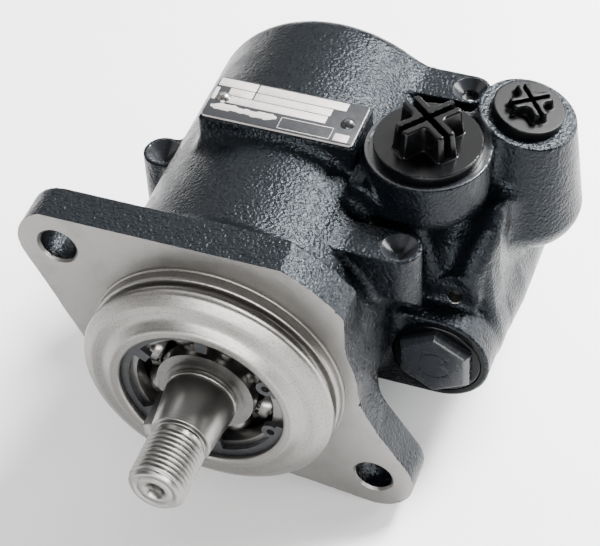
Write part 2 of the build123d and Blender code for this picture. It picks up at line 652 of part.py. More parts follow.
def bearing_outer_ring():
    ring = y_ring(BEARING_OUTER_R - PRESS_FIT, OUTER_SHOULDER_R, BEARING_FRONT, BEARING_BACK)
    return chamfer(ring.edges().filter_by(GeomType.CIRCLE).group_by(SortBy.RADIUS)[-1], RIM_EDGE) - raceway()


def bearing_inner_ring():
    ring = y_ring(INNER_SHOULDER_R, BEARING_BORE_R, BEARING_FRONT, BEARING_BACK)
    return chamfer(ring.edges().filter_by(GeomType.CIRCLE).group_by(SortBy.RADIUS)[0], RIM_EDGE) - raceway()


def ball_ring(r):
    """One ball of radius r at each ball's place."""
    ball = Pos(BALL_PITCH_R, BEARING_MIDDLE, 0) * Sphere(r)
    return [around_y(ball, 360 * (i + 0.5) / BALL_COUNT) for i in range(BALL_COUNT)]


def bearing_balls():
    return Compound(ball_ring(BALL_R))


def bearing_cage():
    """Two pressed strips that meet between the balls, with rivets there."""
    low = BALL_PITCH_R - CAGE_HALF_W
    high = BALL_PITCH_R + CAGE_HALF_W
    pocket_r = BALL_R + CAGE_POCKET
    band = y_ring(high, low, BEARING_MIDDLE - BEARING_W / 2, BEARING_MIDDLE + BEARING_W / 2)
    cage = y_ring(high, low, BEARING_MIDDLE - CAGE_T, BEARING_MIDDLE + CAGE_T)
    for shell in ball_ring(pocket_r + CAGE_T):
        cage += shell & band
    rivet_half = CAGE_T + CAGE_RIVET_H
    rivet = y_cylinder(CAGE_RIVET_R, BEARING_MIDDLE - rivet_half, BEARING_MIDDLE + rivet_half, BALL_PITCH_R)
    for i in range(BALL_COUNT):
        cage += around_y(rivet, 360 * i / BALL_COUNT)
    for ball in ball_ring(pocket_r):
        cage -= ball
    return cage


def bearing_circlip():
    """Internal retaining ring with plier eyes beside its gap and four short teeth."""
    y0 = BEARING_FRONT - CLIP_T
    y1 = BEARING_FRONT
    outer_r = BEARING_OUTER_R + CLIP_GROOVE_DEPTH - LOOSE_FIT / 2
    ring = y_ring(outer_r, CLIP_INNER_R, y0, y1)
    disc = y_ring(outer_r, CLIP_TOOTH_R, y0, y1)
    for place in CLIP_TOOTH_PLACES:
        for side in (-1, 1):
            ring += disc & sector(side * place, CLIP_TOOTH_ANGLE / 2, y0, y1)
    ring -= sector(0, CLIP_GAP_ANGLE, y0 - OVERCUT, y1 + OVERCUT)
    eye = y_cylinder(CLIP_EYE_R, y0, y1, CLIP_EYE_PITCH_R)
    hole = y_cylinder(CLIP_EYE_HOLE_R, y0 - OVERCUT, y1 + OVERCUT, CLIP_EYE_PITCH_R)
    for side in (-1, 1):
        ring += around_y(eye, side * CLIP_EYE_ANGLE)
    for side in (-1, 1):
        ring -= around_y(hole, side * CLIP_EYE_ANGLE)
    return around_y(ring, CLIP_TURN)


def shaft_seal():
    """Radial lip seal: a cased ring whose lip runs on the shaft."""
    case_r = SEAL_BORE_R - PRESS_FIT
    back = SEAL_START + SEAL_LEN
    lip_r = SEAL_RUN_R + RUNNING_FIT
    section = [
        (case_r, SEAL_START),
        (case_r, back),
        (case_r - SEAL_CASE_T, back),
        (case_r - SEAL_CASE_T, SEAL_START + SEAL_CASE_T),
        (SEAL_LIP_R, SEAL_START + SEAL_CASE_T),
        (lip_r + SLIDE_FIT + PRESS_FIT, back - SEAL_CASE_T),
        (lip_r, back - SEAL_LIP_BACK),
        (lip_r + SEAL_CASE_T / 2, SEAL_START),
    ]
    return turned(section)


def shaft_ring():
    """External retaining ring in the shaft's groove, just before the bearing."""
    y0 = BEARING_FRONT - SHAFT_RING_T
    ring = y_ring(SHAFT_RING_R, BEARING_BORE_R - SHAFT_RING_DEPTH + SLIDE_FIT, y0, BEARING_FRONT)
    slot = radial_box(0, SHAFT_RING_R + OVERCUT, SHAFT_RING_SLOT, y0 - OVERCUT, BEARING_FRONT + OVERCUT)
    return ring - around_y(slot, KEY_ANGLE)


# ---- shaft ------------------------------------------------------------------------------------------
def key_disc(gap=0.0):
    """The disc that a Woodruff key is cut from, in its place beside the shaft."""
    centre_r = KEY_TOP_R + KEY_WHEEL_R - KEY_H
    disc = Pos(centre_r, KEY_MIDDLE, 0) * Cylinder(KEY_WHEEL_R + gap, KEY_W + 2 * gap)
    return around_y(disc, KEY_ANGLE)


def woodruff_key():
    """A Woodruff key: the part of its disc that lies inside the key's top."""
    keep = radial_box(0, KEY_TOP_R, BIG, KEY_MIDDLE - KEY_WHEEL_R, KEY_MIDDLE + KEY_WHEEL_R)
    return key_disc() & around_y(keep, KEY_ANGLE)


def splines(root_r, tip_r, width, y0, y1):
    """A splined length: a core with evenly spaced teeth."""
    body = y_cylinder(root_r, y0, y1)
    tooth = radial_box(root_r / 2, tip_r, width, y0, y1)
    teeth = [around_y(tooth, 360 * i / SPLINE_COUNT) for i in range(SPLINE_COUNT)]
    return body + teeth


def drive_shaft():
    """Threaded, tapered and keyed outside; bearing, seal, spline and rear journal inside."""
    ring_front = BEARING_FRONT - SHAFT_RING_T
    seat_r = BEARING_BORE_R - PRESS_FIT
    groove_r = BEARING_BORE_R - SHAFT_RING_DEPTH
    spline_start = RING_START + SLIDE_FIT
    spline_end = RING_END - SLIDE_FIT
    journal_start = BUSH_START - ROTOR_CLIP_ROOM
    body = turned(
        [
            (0, SHAFT_END),
            (THREAD_R - THREAD_CHAMFER, SHAFT_END),
            (THREAD_R, SHAFT_END + THREAD_CHAMFER),
            (THREAD_R, THREAD_END),
            (RELIEF_R, THREAD_END),
            (RELIEF_R, TAPER_START),
            (TAPER_SMALL_R, TAPER_START),
            (BEARING_BORE_R, TAPER_END),
            (BEARING_BORE_R, ring_front - SLIDE_FIT),
            (groove_r, ring_front - SLIDE_FIT),
            (groove_r, BEARING_FRONT),
            (seat_r, BEARING_FRONT),
            (seat_r, BEARING_BACK),
            (SHAFT_SHOULDER_R, BEARING_BACK),
            (SHAFT_SHOULDER_R, BEARING_BACK + SHAFT_SHOULDER_T),
            (SEAL_RUN_R, BEARING_BACK + SHAFT_SHOULDER_T),
            (SEAL_RUN_R, CAVITY_START),
            (PLATE_RUN_R, CAVITY_START),
            (PLATE_RUN_R, spline_start),
            (JOURNAL_R, spline_start),
            (JOURNAL_R, JOURNAL_END - SHAFT_CHAMFER),
            (JOURNAL_R - SHAFT_CHAMFER, JOURNAL_END),
            (0, JOURNAL_END),
        ]
    )
    body += splines(SPLINE_ROOT_R, SPLINE_TIP_R, SPLINE_W, spline_start, journal_start)
    clip_y = spline_end
    body -= y_ring(SPLINE_TIP_R + OVERCUT, SPLINE_ROOT_R - ROTOR_CLIP_DEPTH, clip_y, clip_y + ROTOR_CLIP_T)
    body -= y_cylinder(CENTRE_HOLE_R, SHAFT_END - OVERCUT, SHAFT_END + CENTRE_HOLE_DEPTH)
    cone_len = CENTRE_CONE_R
    body -= turned([(0, SHAFT_END), (CENTRE_CONE_R, SHAFT_END), (0, SHAFT_END + cone_len)])
    ring_low = END_RING_R - END_RING_W
    body -= y_ring(END_RING_R, ring_low, SHAFT_END - OVERCUT, SHAFT_END + END_RING_W)
    return body - key_disc(SLIDE_FIT)


# ---- pumping cartridge --------------------------------------------------------------------------------
def pin_holes(y0, y1):
    """The two locating pins' holes, on the cam's short axis."""
    hole = y_cylinder(PIN_R + PRESS_FIT, y0, y1, PIN_ORBIT)
    return around_y(hole, CAM_TILT) + around_y(hole, CAM_TILT + 180)


def locating_pins():
    pin = y_cylinder(PIN_R, PIN_START, PIN_END, PIN_ORBIT)
    return Compound([around_y(pin, CAM_TILT), around_y(pin, CAM_TILT + 180)])


def windows(first, y0, y1):
    """A pair of opposite kidney-shaped windows, the first one's middle at an angle from the short axis."""
    arc = CenterArc((0, 0), PORT_R, -PORT_SPAN / 2, PORT_SPAN)
    window = prism(SlotArc(arc, PORT_W), y0, y1)
    places = (CAM_TILT + first, CAM_TILT + first + 180)
    return [around_y(window, place) for place in places]


def front_plate():
    """Plate in front of the cam ring, with blind windows facing the vanes."""
    plate = y_ring(PLATE_R, FRONT_PLATE_BORE_R, CAVITY_START, RING_START)
    for first in (PORT_LEAD, -PORT_LEAD):
        plate -= windows(first, RING_START - PORT_DEPTH, RING_START + OVERCUT)
    return plate - pin_holes(PIN_START, RING_START + OVERCUT)


def cam_ring():
    """Ring with an oval bore that moves each vane in and out twice a turn."""
    angles = [360 * i / CAM_POINTS for i in range(CAM_POINTS)]
    points = [(cam_radius(a) * cos(radians(a)), cam_radius(a) * sin(radians(a))) for a in angles]
    oval = make_face(Spline(points, periodic=True))
    ring = y_cylinder(PLATE_R, RING_START, RING_END) - prism(oval, RING_START - OVERCUT, RING_END + OVERCUT)
    return ring - pin_holes(RING_START - OVERCUT, RING_END + OVERCUT)


def pressure_plate():
    """Plate behind the cam ring: bush seat, rotor clip recess, delivery windows and O-ring groove."""
    plate = y_cylinder(PLATE_R, RING_END, BACK_PLATE_END)
    plate -= y_cylinder(ROTOR_CLIP_R + LOOSE_FIT, RING_END - OVERCUT, BUSH_START)
    plate -= y_cylinder(JOURNAL_R + BUSH_T, RING_END, JOURNAL_END + LOOSE_FIT)
    plate -= windows(PORT_LEAD, RING_END - OVERCUT, RING_END + PORT_DEPTH)
    plate -= windows(-PORT_LEAD, RING_END - OVERCUT, BACK_PLATE_END + OVERCUT)
    plate -= o_ring_groove(BACK_PLATE_END - O_RING_PLACE)
    return plate - pin_holes(RING_END - OVERCUT, PIN_END)


def o_ring_groove(y):
    """A groove round a plate, as deep as its O-ring needs."""
    floor_r = CAVITY_R - 2 * (O_RING_R + O_RING_GAP)
    return y_ring(CAVITY_R + OVERCUT, floor_r, y - O_RING_GROOVE_W / 2, y + O_RING_GROOVE_W / 2)


def o_ring(y):
    return y_torus(CAVITY_R - O_RING_GAP - O_RING_R, O_RING_R, y)


def journal_bush():
    return y_ring(JOURNAL_R + BUSH_T - PRESS_FIT, JOURNAL_R + RUNNING_FIT, BUSH_START, BUSH_START + BUSH_LEN)


def plate_spring():
    """Disc spring between the pressure plate and the rear cover."""
    rise = SPRING_GAP - SPRING_T
    section = [
        (SPRING_OUTER_R, BACK_PLATE_END),
        (SPRING_OUTER_R, BACK_PLATE_END + SPRING_T),
        (SPRING_INNER_R, BACK_PLATE_END + SPRING_T + rise),
        (SPRING_INNER_R, BACK_PLATE_END + rise),
    ]
    return turned(section)


def rear_cover():
    """Cover that closes the barrel, dished behind and held by the snap ring."""
    cover = y_cylinder(PLATE_R, COVER_START, COVER_END)
    cover = chamfer(cover.edges().group_by(Axis.Y)[0], COVER_EDGE)
    cover -= y_cylinder(COVER_POCKET_R, COVER_END - COVER_POCKET_DEPTH, COVER_END + OVERCUT)
    return cover - o_ring_groove(COVER_END - O_RING_PLACE - COVER_CLIP_R)


def cover_snap_ring():
    """Round-wire snap ring in the barrel's groove, with an open gap."""
    y = COVER_END + COVER_CLIP_R
    ring = y_torus(CAVITY_R, COVER_CLIP_R, y)
    reach = 2 * COVER_CLIP_R
    gap = radial_box(0, CAVITY_R + reach, COVER_CLIP_GAP, COVER_END - OVERCUT, y + reach)
    return ring - around_y(gap, CAM_TILT)


def vane_angles():
    """Angle of each vane from +X, in degrees."""
    return [360 * i / VANE_COUNT for i in range(VANE_COUNT)]


def rotor():
    """Slotted rotor with a splined bore and a pocket under each vane."""
    y0 = RING_START + SLIDE_FIT
    y1 = RING_END - SLIDE_FIT
    cut0 = y0 - OVERCUT
    cut1 = y1 + OVERCUT
    root_r = SPLINE_ROOT_R + SLIDE_FIT
    body = y_cylinder(ROTOR_R, y0, y1)
    body -= splines(root_r, SPLINE_TIP_R + SLIDE_FIT, SPLINE_W + SLIDE_FIT, cut0, cut1)
    foot_r = VANE_TIP_R - VANE_LEN
    slot = radial_box(foot_r - SLIDE_FIT, ROTOR_R + OVERCUT, VANE_T + 2 * SLIDE_FIT, cut0, cut1)
    slot += y_cylinder(UNDER_VANE_R, cut0, cut1, foot_r)
    return body - [around_y(slot, angle) for angle in vane_angles()]


def vane(angle):
    """One vane, drawn back into its slot."""
    y0 = RING_START + SLIDE_FIT
    y1 = RING_END - SLIDE_FIT
    blade = radial_box(VANE_TIP_R - VANE_LEN, VANE_TIP_R, VANE_T, y0, y1)
    blade = fillet(blade.faces().sort_by(Axis.X)[-1].edges().filter_by(Axis.Y), VANE_TIP_FILLET)
    return around_y(blade, angle)


def rotor_clip():
    """Ring that keeps the rotor on its spline."""
    y0 = RING_END - SLIDE_FIT
    ring = y_ring(ROTOR_CLIP_R, SPLINE_ROOT_R - ROTOR_CLIP_DEPTH + SLIDE_FIT, y0, y0 + ROTOR_CLIP_T)
    slot = radial_box(0, ROTOR_CLIP_R + OVERCUT, SHAFT_RING_SLOT, y0 - OVERCUT, y0 + ROTOR_CLIP_T + OVERCUT)
    return ring - slot


# ---- name plate --------------------------------------------------------------------------------------
def rivet_places():
    """Centres of the two rivets, near the plate's ends."""
    y = (PAD_FRONT + PAD_BACK) / 2
    inset = PLATE_MARGIN + RIVET_INSET
    return [(PAD_LEFT + inset, y), (PAD_RIGHT - inset, y)]


def name_plate():
    """Thin plate on the pad; its face is left bare."""
    width = PAD_RIGHT - PAD_LEFT - 2 * PLATE_MARGIN
    depth = PAD_BACK - PAD_FRONT - 2 * PLATE_MARGIN
    middle = ((PAD_LEFT + PAD_RIGHT) / 2, (PAD_FRONT + PAD_BACK) / 2)
    outline = Pos(*middle, PAD_TOP) * RectangleRounded(width, depth, PLATE_CORNER_R)
    low = PAD_TOP - OVERCUT
    high = PAD_TOP + PLATE_T + OVERCUT
    holes = [z_cylinder(RIVET_SHANK_R, low, high, x, y) for x, y in rivet_places()]
    port = z_cylinder(INLET_BOSS_R + LOOSE_FIT, low, high, INLET_X, INLET_Y)
    return extrude(outline, amount=PLATE_T) - holes - port


def name_plate_rivets():
    """Two drive rivets with domed heads."""
    rivets = []
    for x, y in rivet_places():
        seat = PAD_TOP + PLATE_T
        sphere_r = (RIVET_R**2 + RIVET_H**2) / (2 * RIVET_H)
        dome = Pos(x, y, seat + RIVET_H - sphere_r) * Sphere(sphere_r)
        head = dome & z_cylinder(RIVET_R, seat, seat + RIVET_H, x, y)
        shank = z_cylinder(RIVET_SHANK_R - PRESS_FIT, PAD_TOP - RIVET_SHANK_LEN, seat, x, y)
        rivets.append(head + shank)
    return Compound(rivets)


# ---- flow valve ---------------------------------------------------------------------------------------
def valve_plug():
    """Hexagon-headed screw plug with a collar and a nose that the spool rests on."""
    across = PLUG_HEX_AF / sqrt(3)
    collar_front = PLUG_COLLAR_BACK - PLUG_COLLAR_T
    head = prism(Rot(0, 0, PLUG_HEX_TURN) * RegularPolygon(across, 6), PLUG_HEX_FRONT, collar_front)
    flare = collar_front - PLUG_HEX_FRONT
    head &= turned(
        [
            (0, PLUG_HEX_FRONT),
            (PLUG_HEX_AF / 2, PLUG_HEX_FRONT),
            (PLUG_HEX_AF / 2 + 2 * PLUG_CHAMFER, PLUG_HEX_FRONT + PLUG_CHAMFER),
            (PLUG_HEX_AF / 2 + 2 * PLUG_CHAMFER, PLUG_HEX_FRONT + flare),
            (0, PLUG_HEX_FRONT + flare),
        ]
    )
    ring_low = PLUG_FACE_R - PLUG_FACE_W
    ring = y_ring(PLUG_FACE_R, ring_low, PLUG_HEX_FRONT - OVERCUT, PLUG_HEX_FRONT + PLUG_FACE_W)
    body = turned(
        [
            (0, collar_front),
            (PLUG_COLLAR_R, collar_front),
            (PLUG_COLLAR_R, PLUG_COLLAR_BACK),
            (PLUG_THREAD_R - PRESS_FIT - 2 * PLUG_SEAL_R, PLUG_COLLAR_BACK),
            (PLUG_THREAD_R - PRESS_FIT - 2 * PLUG_SEAL_R, PLUG_COLLAR_BACK + 2 * PLUG_SEAL_R),
            (PLUG_THREAD_R - PRESS_FIT, PLUG_COLLAR_BACK + 2 * PLUG_SEAL_R),
            (PLUG_THREAD_R - PRESS_FIT, PLUG_THREAD_END),
            (PLUG_NOSE_R, PLUG_THREAD_END),
            (PLUG_NOSE_R, PLUG_THREAD_END + PLUG_NOSE_LEN),
            (0, PLUG_THREAD_END + PLUG_NOSE_LEN),
        ]
    )
    return Pos(VALVE_X, 0, VALVE_Z) * (head - ring + body)


def valve_plug_seal():
    """O-ring in the plug's undercut, behind its collar."""
    mean_r = PLUG_THREAD_R - PRESS_FIT - PLUG_SEAL_R
    return y_torus(mean_r, PLUG_SEAL_R - PRESS_FIT, PLUG_COLLAR_BACK + PLUG_SEAL_R, VALVE_X, VALVE_Z)


def flow_spool():
    """Two-land spool with a pocket for its spring."""
    land_r = VALVE_BORE_R - RUNNING_FIT
    body = turned(
        [
            (0, SPOOL_START),
            (land_r, SPOOL_START),
            (land_r, SPOOL_START + SPOOL_LAND),
            (SPOOL_WAIST_R, SPOOL_START + SPOOL_LAND),
            (SPOOL_WAIST_R, SPOOL_END - SPOOL_LAND),
            (land_r, SPOOL_END - SPOOL_LAND),
            (land_r, SPOOL_END),
            (SPOOL_POCKET_R, SPOOL_END),
            (SPOOL_POCKET_R, SPOOL_END - SPOOL_POCKET_DEPTH),
            (0, SPOOL_END - SPOOL_POCKET_DEPTH),
        ]
    )
    return Pos(VALVE_X, 0, VALVE_Z) * body


def valve_spring():
    """Coil spring between the spool's pocket and the end of the valve's bore."""
    low = SPOOL_END - SPOOL_POCKET_DEPTH + VALVE_SPRING_WIRE + SLIDE_FIT
    high = VALVE_BORE_END - VALVE_SPRING_WIRE - SLIDE_FIT
    path = Helix((high - low) / VALVE_SPRING_TURNS, high - low, VALVE_SPRING_R)
    start = Plane(origin=path @ 0, z_dir=path % 0)
    coil = sweep(start * Circle(VALVE_SPRING_WIRE), path=path)
    return Pos(VALVE_X, low, VALVE_Z) * Rot(-90, 0, 0) * coil


def drilling_ball():
    return Pos(DRILL_X, DRILL_BALL_Y, DRILL_Z) * Sphere(DRILL_R - PRESS_FIT)


# ---- transport caps ------------------------------------------------------------------------------------
def push_cap(disc_r, disc_t, shank_r, wall, shank_len, arm, arm_w, grip_h, slot_w, turn):
    """A push-in cap in its own frame: disc on z = 0, hollow shank below, slotted cross grip above."""
    cap = Pos(0, 0, disc_t / 2) * Cylinder(disc_r, disc_t)
    cap = chamfer(cap.edges().sort_by(Axis.Z)[-1], CAP_EDGE)
    cap += Pos(0, 0, -shank_len / 2) * (Cylinder(shank_r, shank_len) - Cylinder(shank_r - wall, shank_len))
    grip_z = disc_t + grip_h / 2
    bars = [Rot(0, 0, turn + 90 * i) * Pos(0, 0, grip_z) * Box(2 * arm, arm_w, grip_h) for i in (0, 1)]
    cap += bars
    slot_h = grip_h - CAP_SLOT_FLOOR
    slot_z = disc_t + CAP_SLOT_FLOOR + slot_h / 2
    slot_len = 2 * (arm + OVERCUT)
    slots = [Rot(0, 0, turn + 90 * i) * Pos(0, 0, slot_z) * Box(slot_len, slot_w, slot_h) for i in (0, 1)]
    return cap - slots


def inlet_cap():
    cap = push_cap(
        INLET_BORE_R + INLET_CAP_RIM,
        INLET_CAP_T,
        INLET_BORE_R - LOOSE_FIT,
        INLET_CAP_WALL,
        INLET_CAP_SHANK,
        INLET_CAP_ARM,
        INLET_CAP_ARM_W,
        INLET_CAP_GRIP_H,
        INLET_CAP_SLOT_W,
        INLET_CAP_TURN,
    )
    return Pos(INLET_X, INLET_Y, INLET_FACE - INLET_SPOT_DEPTH + CAP_SEAT_GAP) * cap


def outlet_cap():
    cap = push_cap(
        OUTLET_BORE_R + OUTLET_CAP_RIM,
        OUTLET_CAP_T,
        OUTLET_BORE_R - LOOSE_FIT,
        OUTLET_CAP_WALL,
        OUTLET_CAP_SHANK,
        OUTLET_CAP_ARM,
        OUTLET_CAP_ARM_W,
        OUTLET_CAP_GRIP_H,
        OUTLET_CAP_SLOT_W,
        OUTLET_CAP_TURN,
    )
    return outlet_plane(CAP_SEAT_GAP) * cap


PARTS = {
    "housing": housing,
    "bearing_outer_ring": bearing_outer_ring,
    "bearing_inner_ring": bearing_inner_ring,
    "bearing_balls": bearing_balls,
    "bearing_cage": bearing_cage,
    "bearing_circlip": bearing_circlip,
    "shaft_seal": shaft_seal,
    "shaft_ring": shaft_ring,
    "woodruff_key": woodruff_key,
    "drive_shaft": drive_shaft,
    "locating_pins": locating_pins,
    "front_plate": front_plate,
    "cam_ring": cam_ring,
    "pressure_plate": pressure_plate,
    "plate_o_ring": lambda: o_ring(BACK_PLATE_END - O_RING_PLACE),
    "cover_o_ring": lambda: o_ring(COVER_END - O_RING_PLACE - COVER_CLIP_R),
    "journal_bush": journal_bush,
    "plate_spring": plate_spring,
    "rear_cover": rear_cover,
    "cover_snap_ring": cover_snap_ring,
    "rotor": rotor,
    "rotor_clip": rotor_clip,
    "name_plate": name_plate,
    "name_plate_rivets": name_plate_rivets,
    "valve_plug": valve_plug,
    "valve_plug_seal": valve_plug_seal,
    "flow_spool": flow_spool,
    "valve_spring": valve_spring,
    "drilling_ball": drilling_ball,
    "inlet_cap": inlet_cap,
    "outlet_cap": outlet_cap,
}

if __name__ == "__main__":
    os.makedirs("parts", exist_ok=True)
    for node, build in PARTS.items():
        export_step(build(), f"parts/{node}.step")
    for number, angle in enumerate(vane_angles(), 1):
        export_step(vane(angle), f"parts/vane_{number:02d}.step")
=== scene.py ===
"""Engine-driven hydraulic pump: the visual model over its CAD frame.

The frame is the CAD's: the shaft runs along Y with its thread towards -Y, the flange's mounting face
is the plane y = 0, and the inlet looks up along +Z. Sizes here are in millimetres; meshes are made in
metres. Cast and moulded pieces are given as distance fields, so that their walls flow into each other
as in a casting, and turned pieces are spun from a profile.
"""

import json
from math import cos, pi, radians, sin, sqrt, tan

import bmesh
import bpy
import numpy as np
from mathutils import Matrix, Vector


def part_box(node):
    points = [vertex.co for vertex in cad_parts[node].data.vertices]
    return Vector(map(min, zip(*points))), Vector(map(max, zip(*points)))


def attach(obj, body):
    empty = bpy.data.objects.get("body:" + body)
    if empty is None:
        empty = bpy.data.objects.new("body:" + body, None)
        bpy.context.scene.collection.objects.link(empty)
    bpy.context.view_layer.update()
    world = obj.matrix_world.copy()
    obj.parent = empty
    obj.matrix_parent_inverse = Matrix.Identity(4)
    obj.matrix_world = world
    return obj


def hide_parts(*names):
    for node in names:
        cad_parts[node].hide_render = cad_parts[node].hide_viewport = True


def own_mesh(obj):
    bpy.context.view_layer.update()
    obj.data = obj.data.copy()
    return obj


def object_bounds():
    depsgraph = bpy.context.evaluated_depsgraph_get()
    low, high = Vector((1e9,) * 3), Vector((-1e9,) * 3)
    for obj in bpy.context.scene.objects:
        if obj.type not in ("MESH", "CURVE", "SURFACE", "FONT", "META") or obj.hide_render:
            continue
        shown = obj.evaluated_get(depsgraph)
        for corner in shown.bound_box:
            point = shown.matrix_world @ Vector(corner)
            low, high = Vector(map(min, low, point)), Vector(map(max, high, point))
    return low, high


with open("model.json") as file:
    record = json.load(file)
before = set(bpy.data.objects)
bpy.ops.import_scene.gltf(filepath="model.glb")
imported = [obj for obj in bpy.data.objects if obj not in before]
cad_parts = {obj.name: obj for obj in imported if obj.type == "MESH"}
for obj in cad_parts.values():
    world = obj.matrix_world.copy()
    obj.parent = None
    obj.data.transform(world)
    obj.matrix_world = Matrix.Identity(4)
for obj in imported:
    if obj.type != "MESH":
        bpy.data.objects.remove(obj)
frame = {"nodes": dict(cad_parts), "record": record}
cad_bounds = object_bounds()

MM = 0.001
ROOT = "pump_body"
MOUNTS = {mount["name"]: mount for mount in frame["record"]["mounts"]}


def box_mm(node):
    """Lowest and highest corner of a CAD node, in millimetres."""
    low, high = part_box(node)
    return np.array(low) / MM, np.array(high) / MM


def middle_mm(node):
    low, high = box_mm(node)
    return (low + high) / 2


def half_width_mm(node):
    low, high = box_mm(node)
    return (high - low)[0] / 2


def mount_mm(name):
    return np.array(MOUNTS[name]["pos_m"]) / MM


# ---- places and sizes read from the frame ----
CASTING_LOW, CASTING_HIGH = box_mm("housing")
PLATE_LOW, PLATE_HIGH = box_mm("name_plate")
SHAFT_LOW, SHAFT_HIGH = box_mm("drive_shaft")
INLET_SPOT = 0.6  # the inlet's mount is its spot face, this far below the boss's top
INLET = mount_mm("inlet_port") + (0, 0, INLET_SPOT)
OUTLET = mount_mm("outlet_port")
OUTLET_AXIS = np.array(MOUNTS["outlet_port"]["axis"])
PILOT_R = MOUNTS["pilot"]["dims"]["r_mm"]
VALVE = middle_mm("valve_plug")
VALVE_AT = (VALVE[0], VALVE[2])
PLUG_FRONT = box_mm("valve_plug")[0][1]
DRILLING = middle_mm("drilling_ball")
CAVITY_R = half_width_mm("rear_cover")
BEARING_R = half_width_mm("bearing_outer_ring")
PILOT_FRONT = CASTING_LOW[1]
BARREL_END = CASTING_HIGH[1]

# ---- casting ----
GRID = 0.7  # spacing of the casting's field samples
FINE_GRID = 0.32  # the same where small edges show
FINE_LAP = 0.3  # fine and coarse blocks overlap by this much
FACE_LIMIT = 150000  # triangles of the coarse block
BARREL_R = 39.2
BARREL_AT = (0.9, 0.3)  # the rough barrel sits off the shaft's axis
BARREL_EDGE = 5.5
BOLT_SPACING = 108.5
BOLT_HOLE_R = 5.25
FLANGE_TILT = radians(-36.3)
FLANGE_T = 11.0
FLANGE_EDGE = 1.0
LOBE_R = 11.6
FLANGE_LOW_R = 37.3
FLANGE_TOP_R = 47.3
RIM_T = 5.5
RIM_BACK = 16.5
WALL_X = 36.5
WALL_SLOPE = radians(21.0)
WALL_CORNER = 9.0
VALVE_BODY_R = 15.1
VALVE_FRONT = 31.3
VALVE_END = 97.0
VALVE_EDGE = 5.0
SWELL = (2.0, 1.5)  # how far the rear of the valve casing leans out
SWELL_START = 48.0
SWELL_FULL = 62.0
WEB_LOW_X = 10.0
SHOULDER_FRONT = 40.0
SHOULDER_BACK = 88.0
SHOULDER_TOP = 27.0
SHOULDER_X = 60.0
LEFT_CREST = [(24, 38), (28, 38.4), (33, 34.2), (39.5, 30.0), (44.6, 27.2), (47.8, 20.5), (49, 8)]
RIGHT_CREST = [(40.3, 13.5), (43.6, 19.2), (47.4, 24.8), (53, 27.8), (88, 27.8)]
VALLEY = [(42.8, 10.5), (45.8, 16.8), (51, 23), (60, 25), (88, 25)]
CREST_FOOT = 2.0
CREST_FILLET = 5.0
LEFT_CREST_EDGE = 2.2
RIGHT_CREST_EDGE = 3.1
RIGHT_CREST_X = (55.0, 61.3)  # the right crest's sides, at its front
RIGHT_CREST_LEAN = 0.45  # it leans outwards as it climbs, until it is this far back
RIGHT_CREST_REACH = 8.0
FLANK_R = 2.5  # the wall from the right crest down to the valve casing
FLANK_TOP = 21.0
FLANK_FRONT = 42.5
FLANK_SLOPE = 1.5  # its front leans back: this much rise for each millimetre
FLANK_IN = 0.6  # it lies this far inside the valve casing and the crest
FLANK_LOW_X = 57.5
FLANK_EDGE = 2.0
DRILL_BOSS_R = 6.8
DRILL_BOSS_FILLET = 1.8
INLET_BOSS_R = 17.4
INLET_SPOT_R = 16.2
INLET_BORE_R = 12.4
INLET_CUP = (20.0, 9.5)  # the boss's depth and the radius of its round underside
OUTLET_BOSS_R = 13.4
OUTLET_DRAFT = radians(6.0)
OUTLET_FOOT = 12.0
OUTLET_DOME = 0.75  # height of the dome under the foot, as a share of a half ball's
OUTLET_BORE_R = 7.4
LUG_R = 6.0
LUG_EDGE = 0.5
LUG_CONE = 4.9
LUGS = {"front": (42.4, 28.8, 30.5), "rear": (42.4, 94.4, 30.5), "left": (-41.0, 63.0, 11.0)}
FRONT_LUG_FOOT = 16.0  # the front lug's wall ends here and its underside runs back
FRONT_LUG_SLOPE = 1.1
PAD_RIM = 0.6  # the pad stands out round the plate
PAD_EDGE = 0.8
PAD_FILLET = 1.2
PAD_APRON = 4.5  # the pad's fillet away from the inlet
PAD_APRON_END = 5.0  # it fades out over this length
CONE_SCALE = 0.7  # brings the field of a 45 degree cone to distances

# bores and seats: (radius, end along the bore), as in the CAD
SHAFT_BORES = [(BEARING_R, 3.8), (16.0, 12.8), (11.0, 19.5)]
CAVITY_FRONT = 19.0
CAVITY_CHAMFER = 1.2
VALVE_BORES = [(9.0, 90.0), (11.0, 44.7), (12.9, 32.7)]
VALVE_MOUTH = 30  # the valve's bores are cut from here, in front of its casing
DRILLING_R = 2.1
INLET_BORES = [(INLET_BORE_R, 25.3), (8.0, 11.0)]
OUTLET_BORE_END = -14.0
OUTLET_WAY = (3.5, -55.0)
REAR_LUG_THREAD_R = 2.4
BOLT_CHAMFER = 0.7


# ---- distance fields ----
def blend_in(a, b, r):
    """Union of two fields with a fillet of radius r where they meet."""
    return np.maximum(r, np.minimum(a, b)) - np.hypot(np.maximum(r - a, 0), np.maximum(r - b, 0))


def rounded_meet(a, b, r):
    """Intersection of two fields whose edge is rounded to radius r."""
    return np.minimum(-r, np.maximum(a, b)) + np.hypot(np.maximum(r + a, 0), np.maximum(r + b, 0))


def between(p, low, high):
    return np.abs(p - (low + high) / 2) - (high - low) / 2


def rod(p, q, along, centre, r, low, high, edge):
    """A cylinder in the p-q plane, from low to high along its axis."""
    return rounded_meet(np.hypot(p - centre[0], q - centre[1]) - r, between(along, low, high), edge)


def block(x, y, z, low, high, edge):
    sides = rounded_meet(between(x, low[0], high[0]), between(y, low[1], high[1]), edge)
    return rounded_meet(sides, between(z, low[2], high[2]), edge)


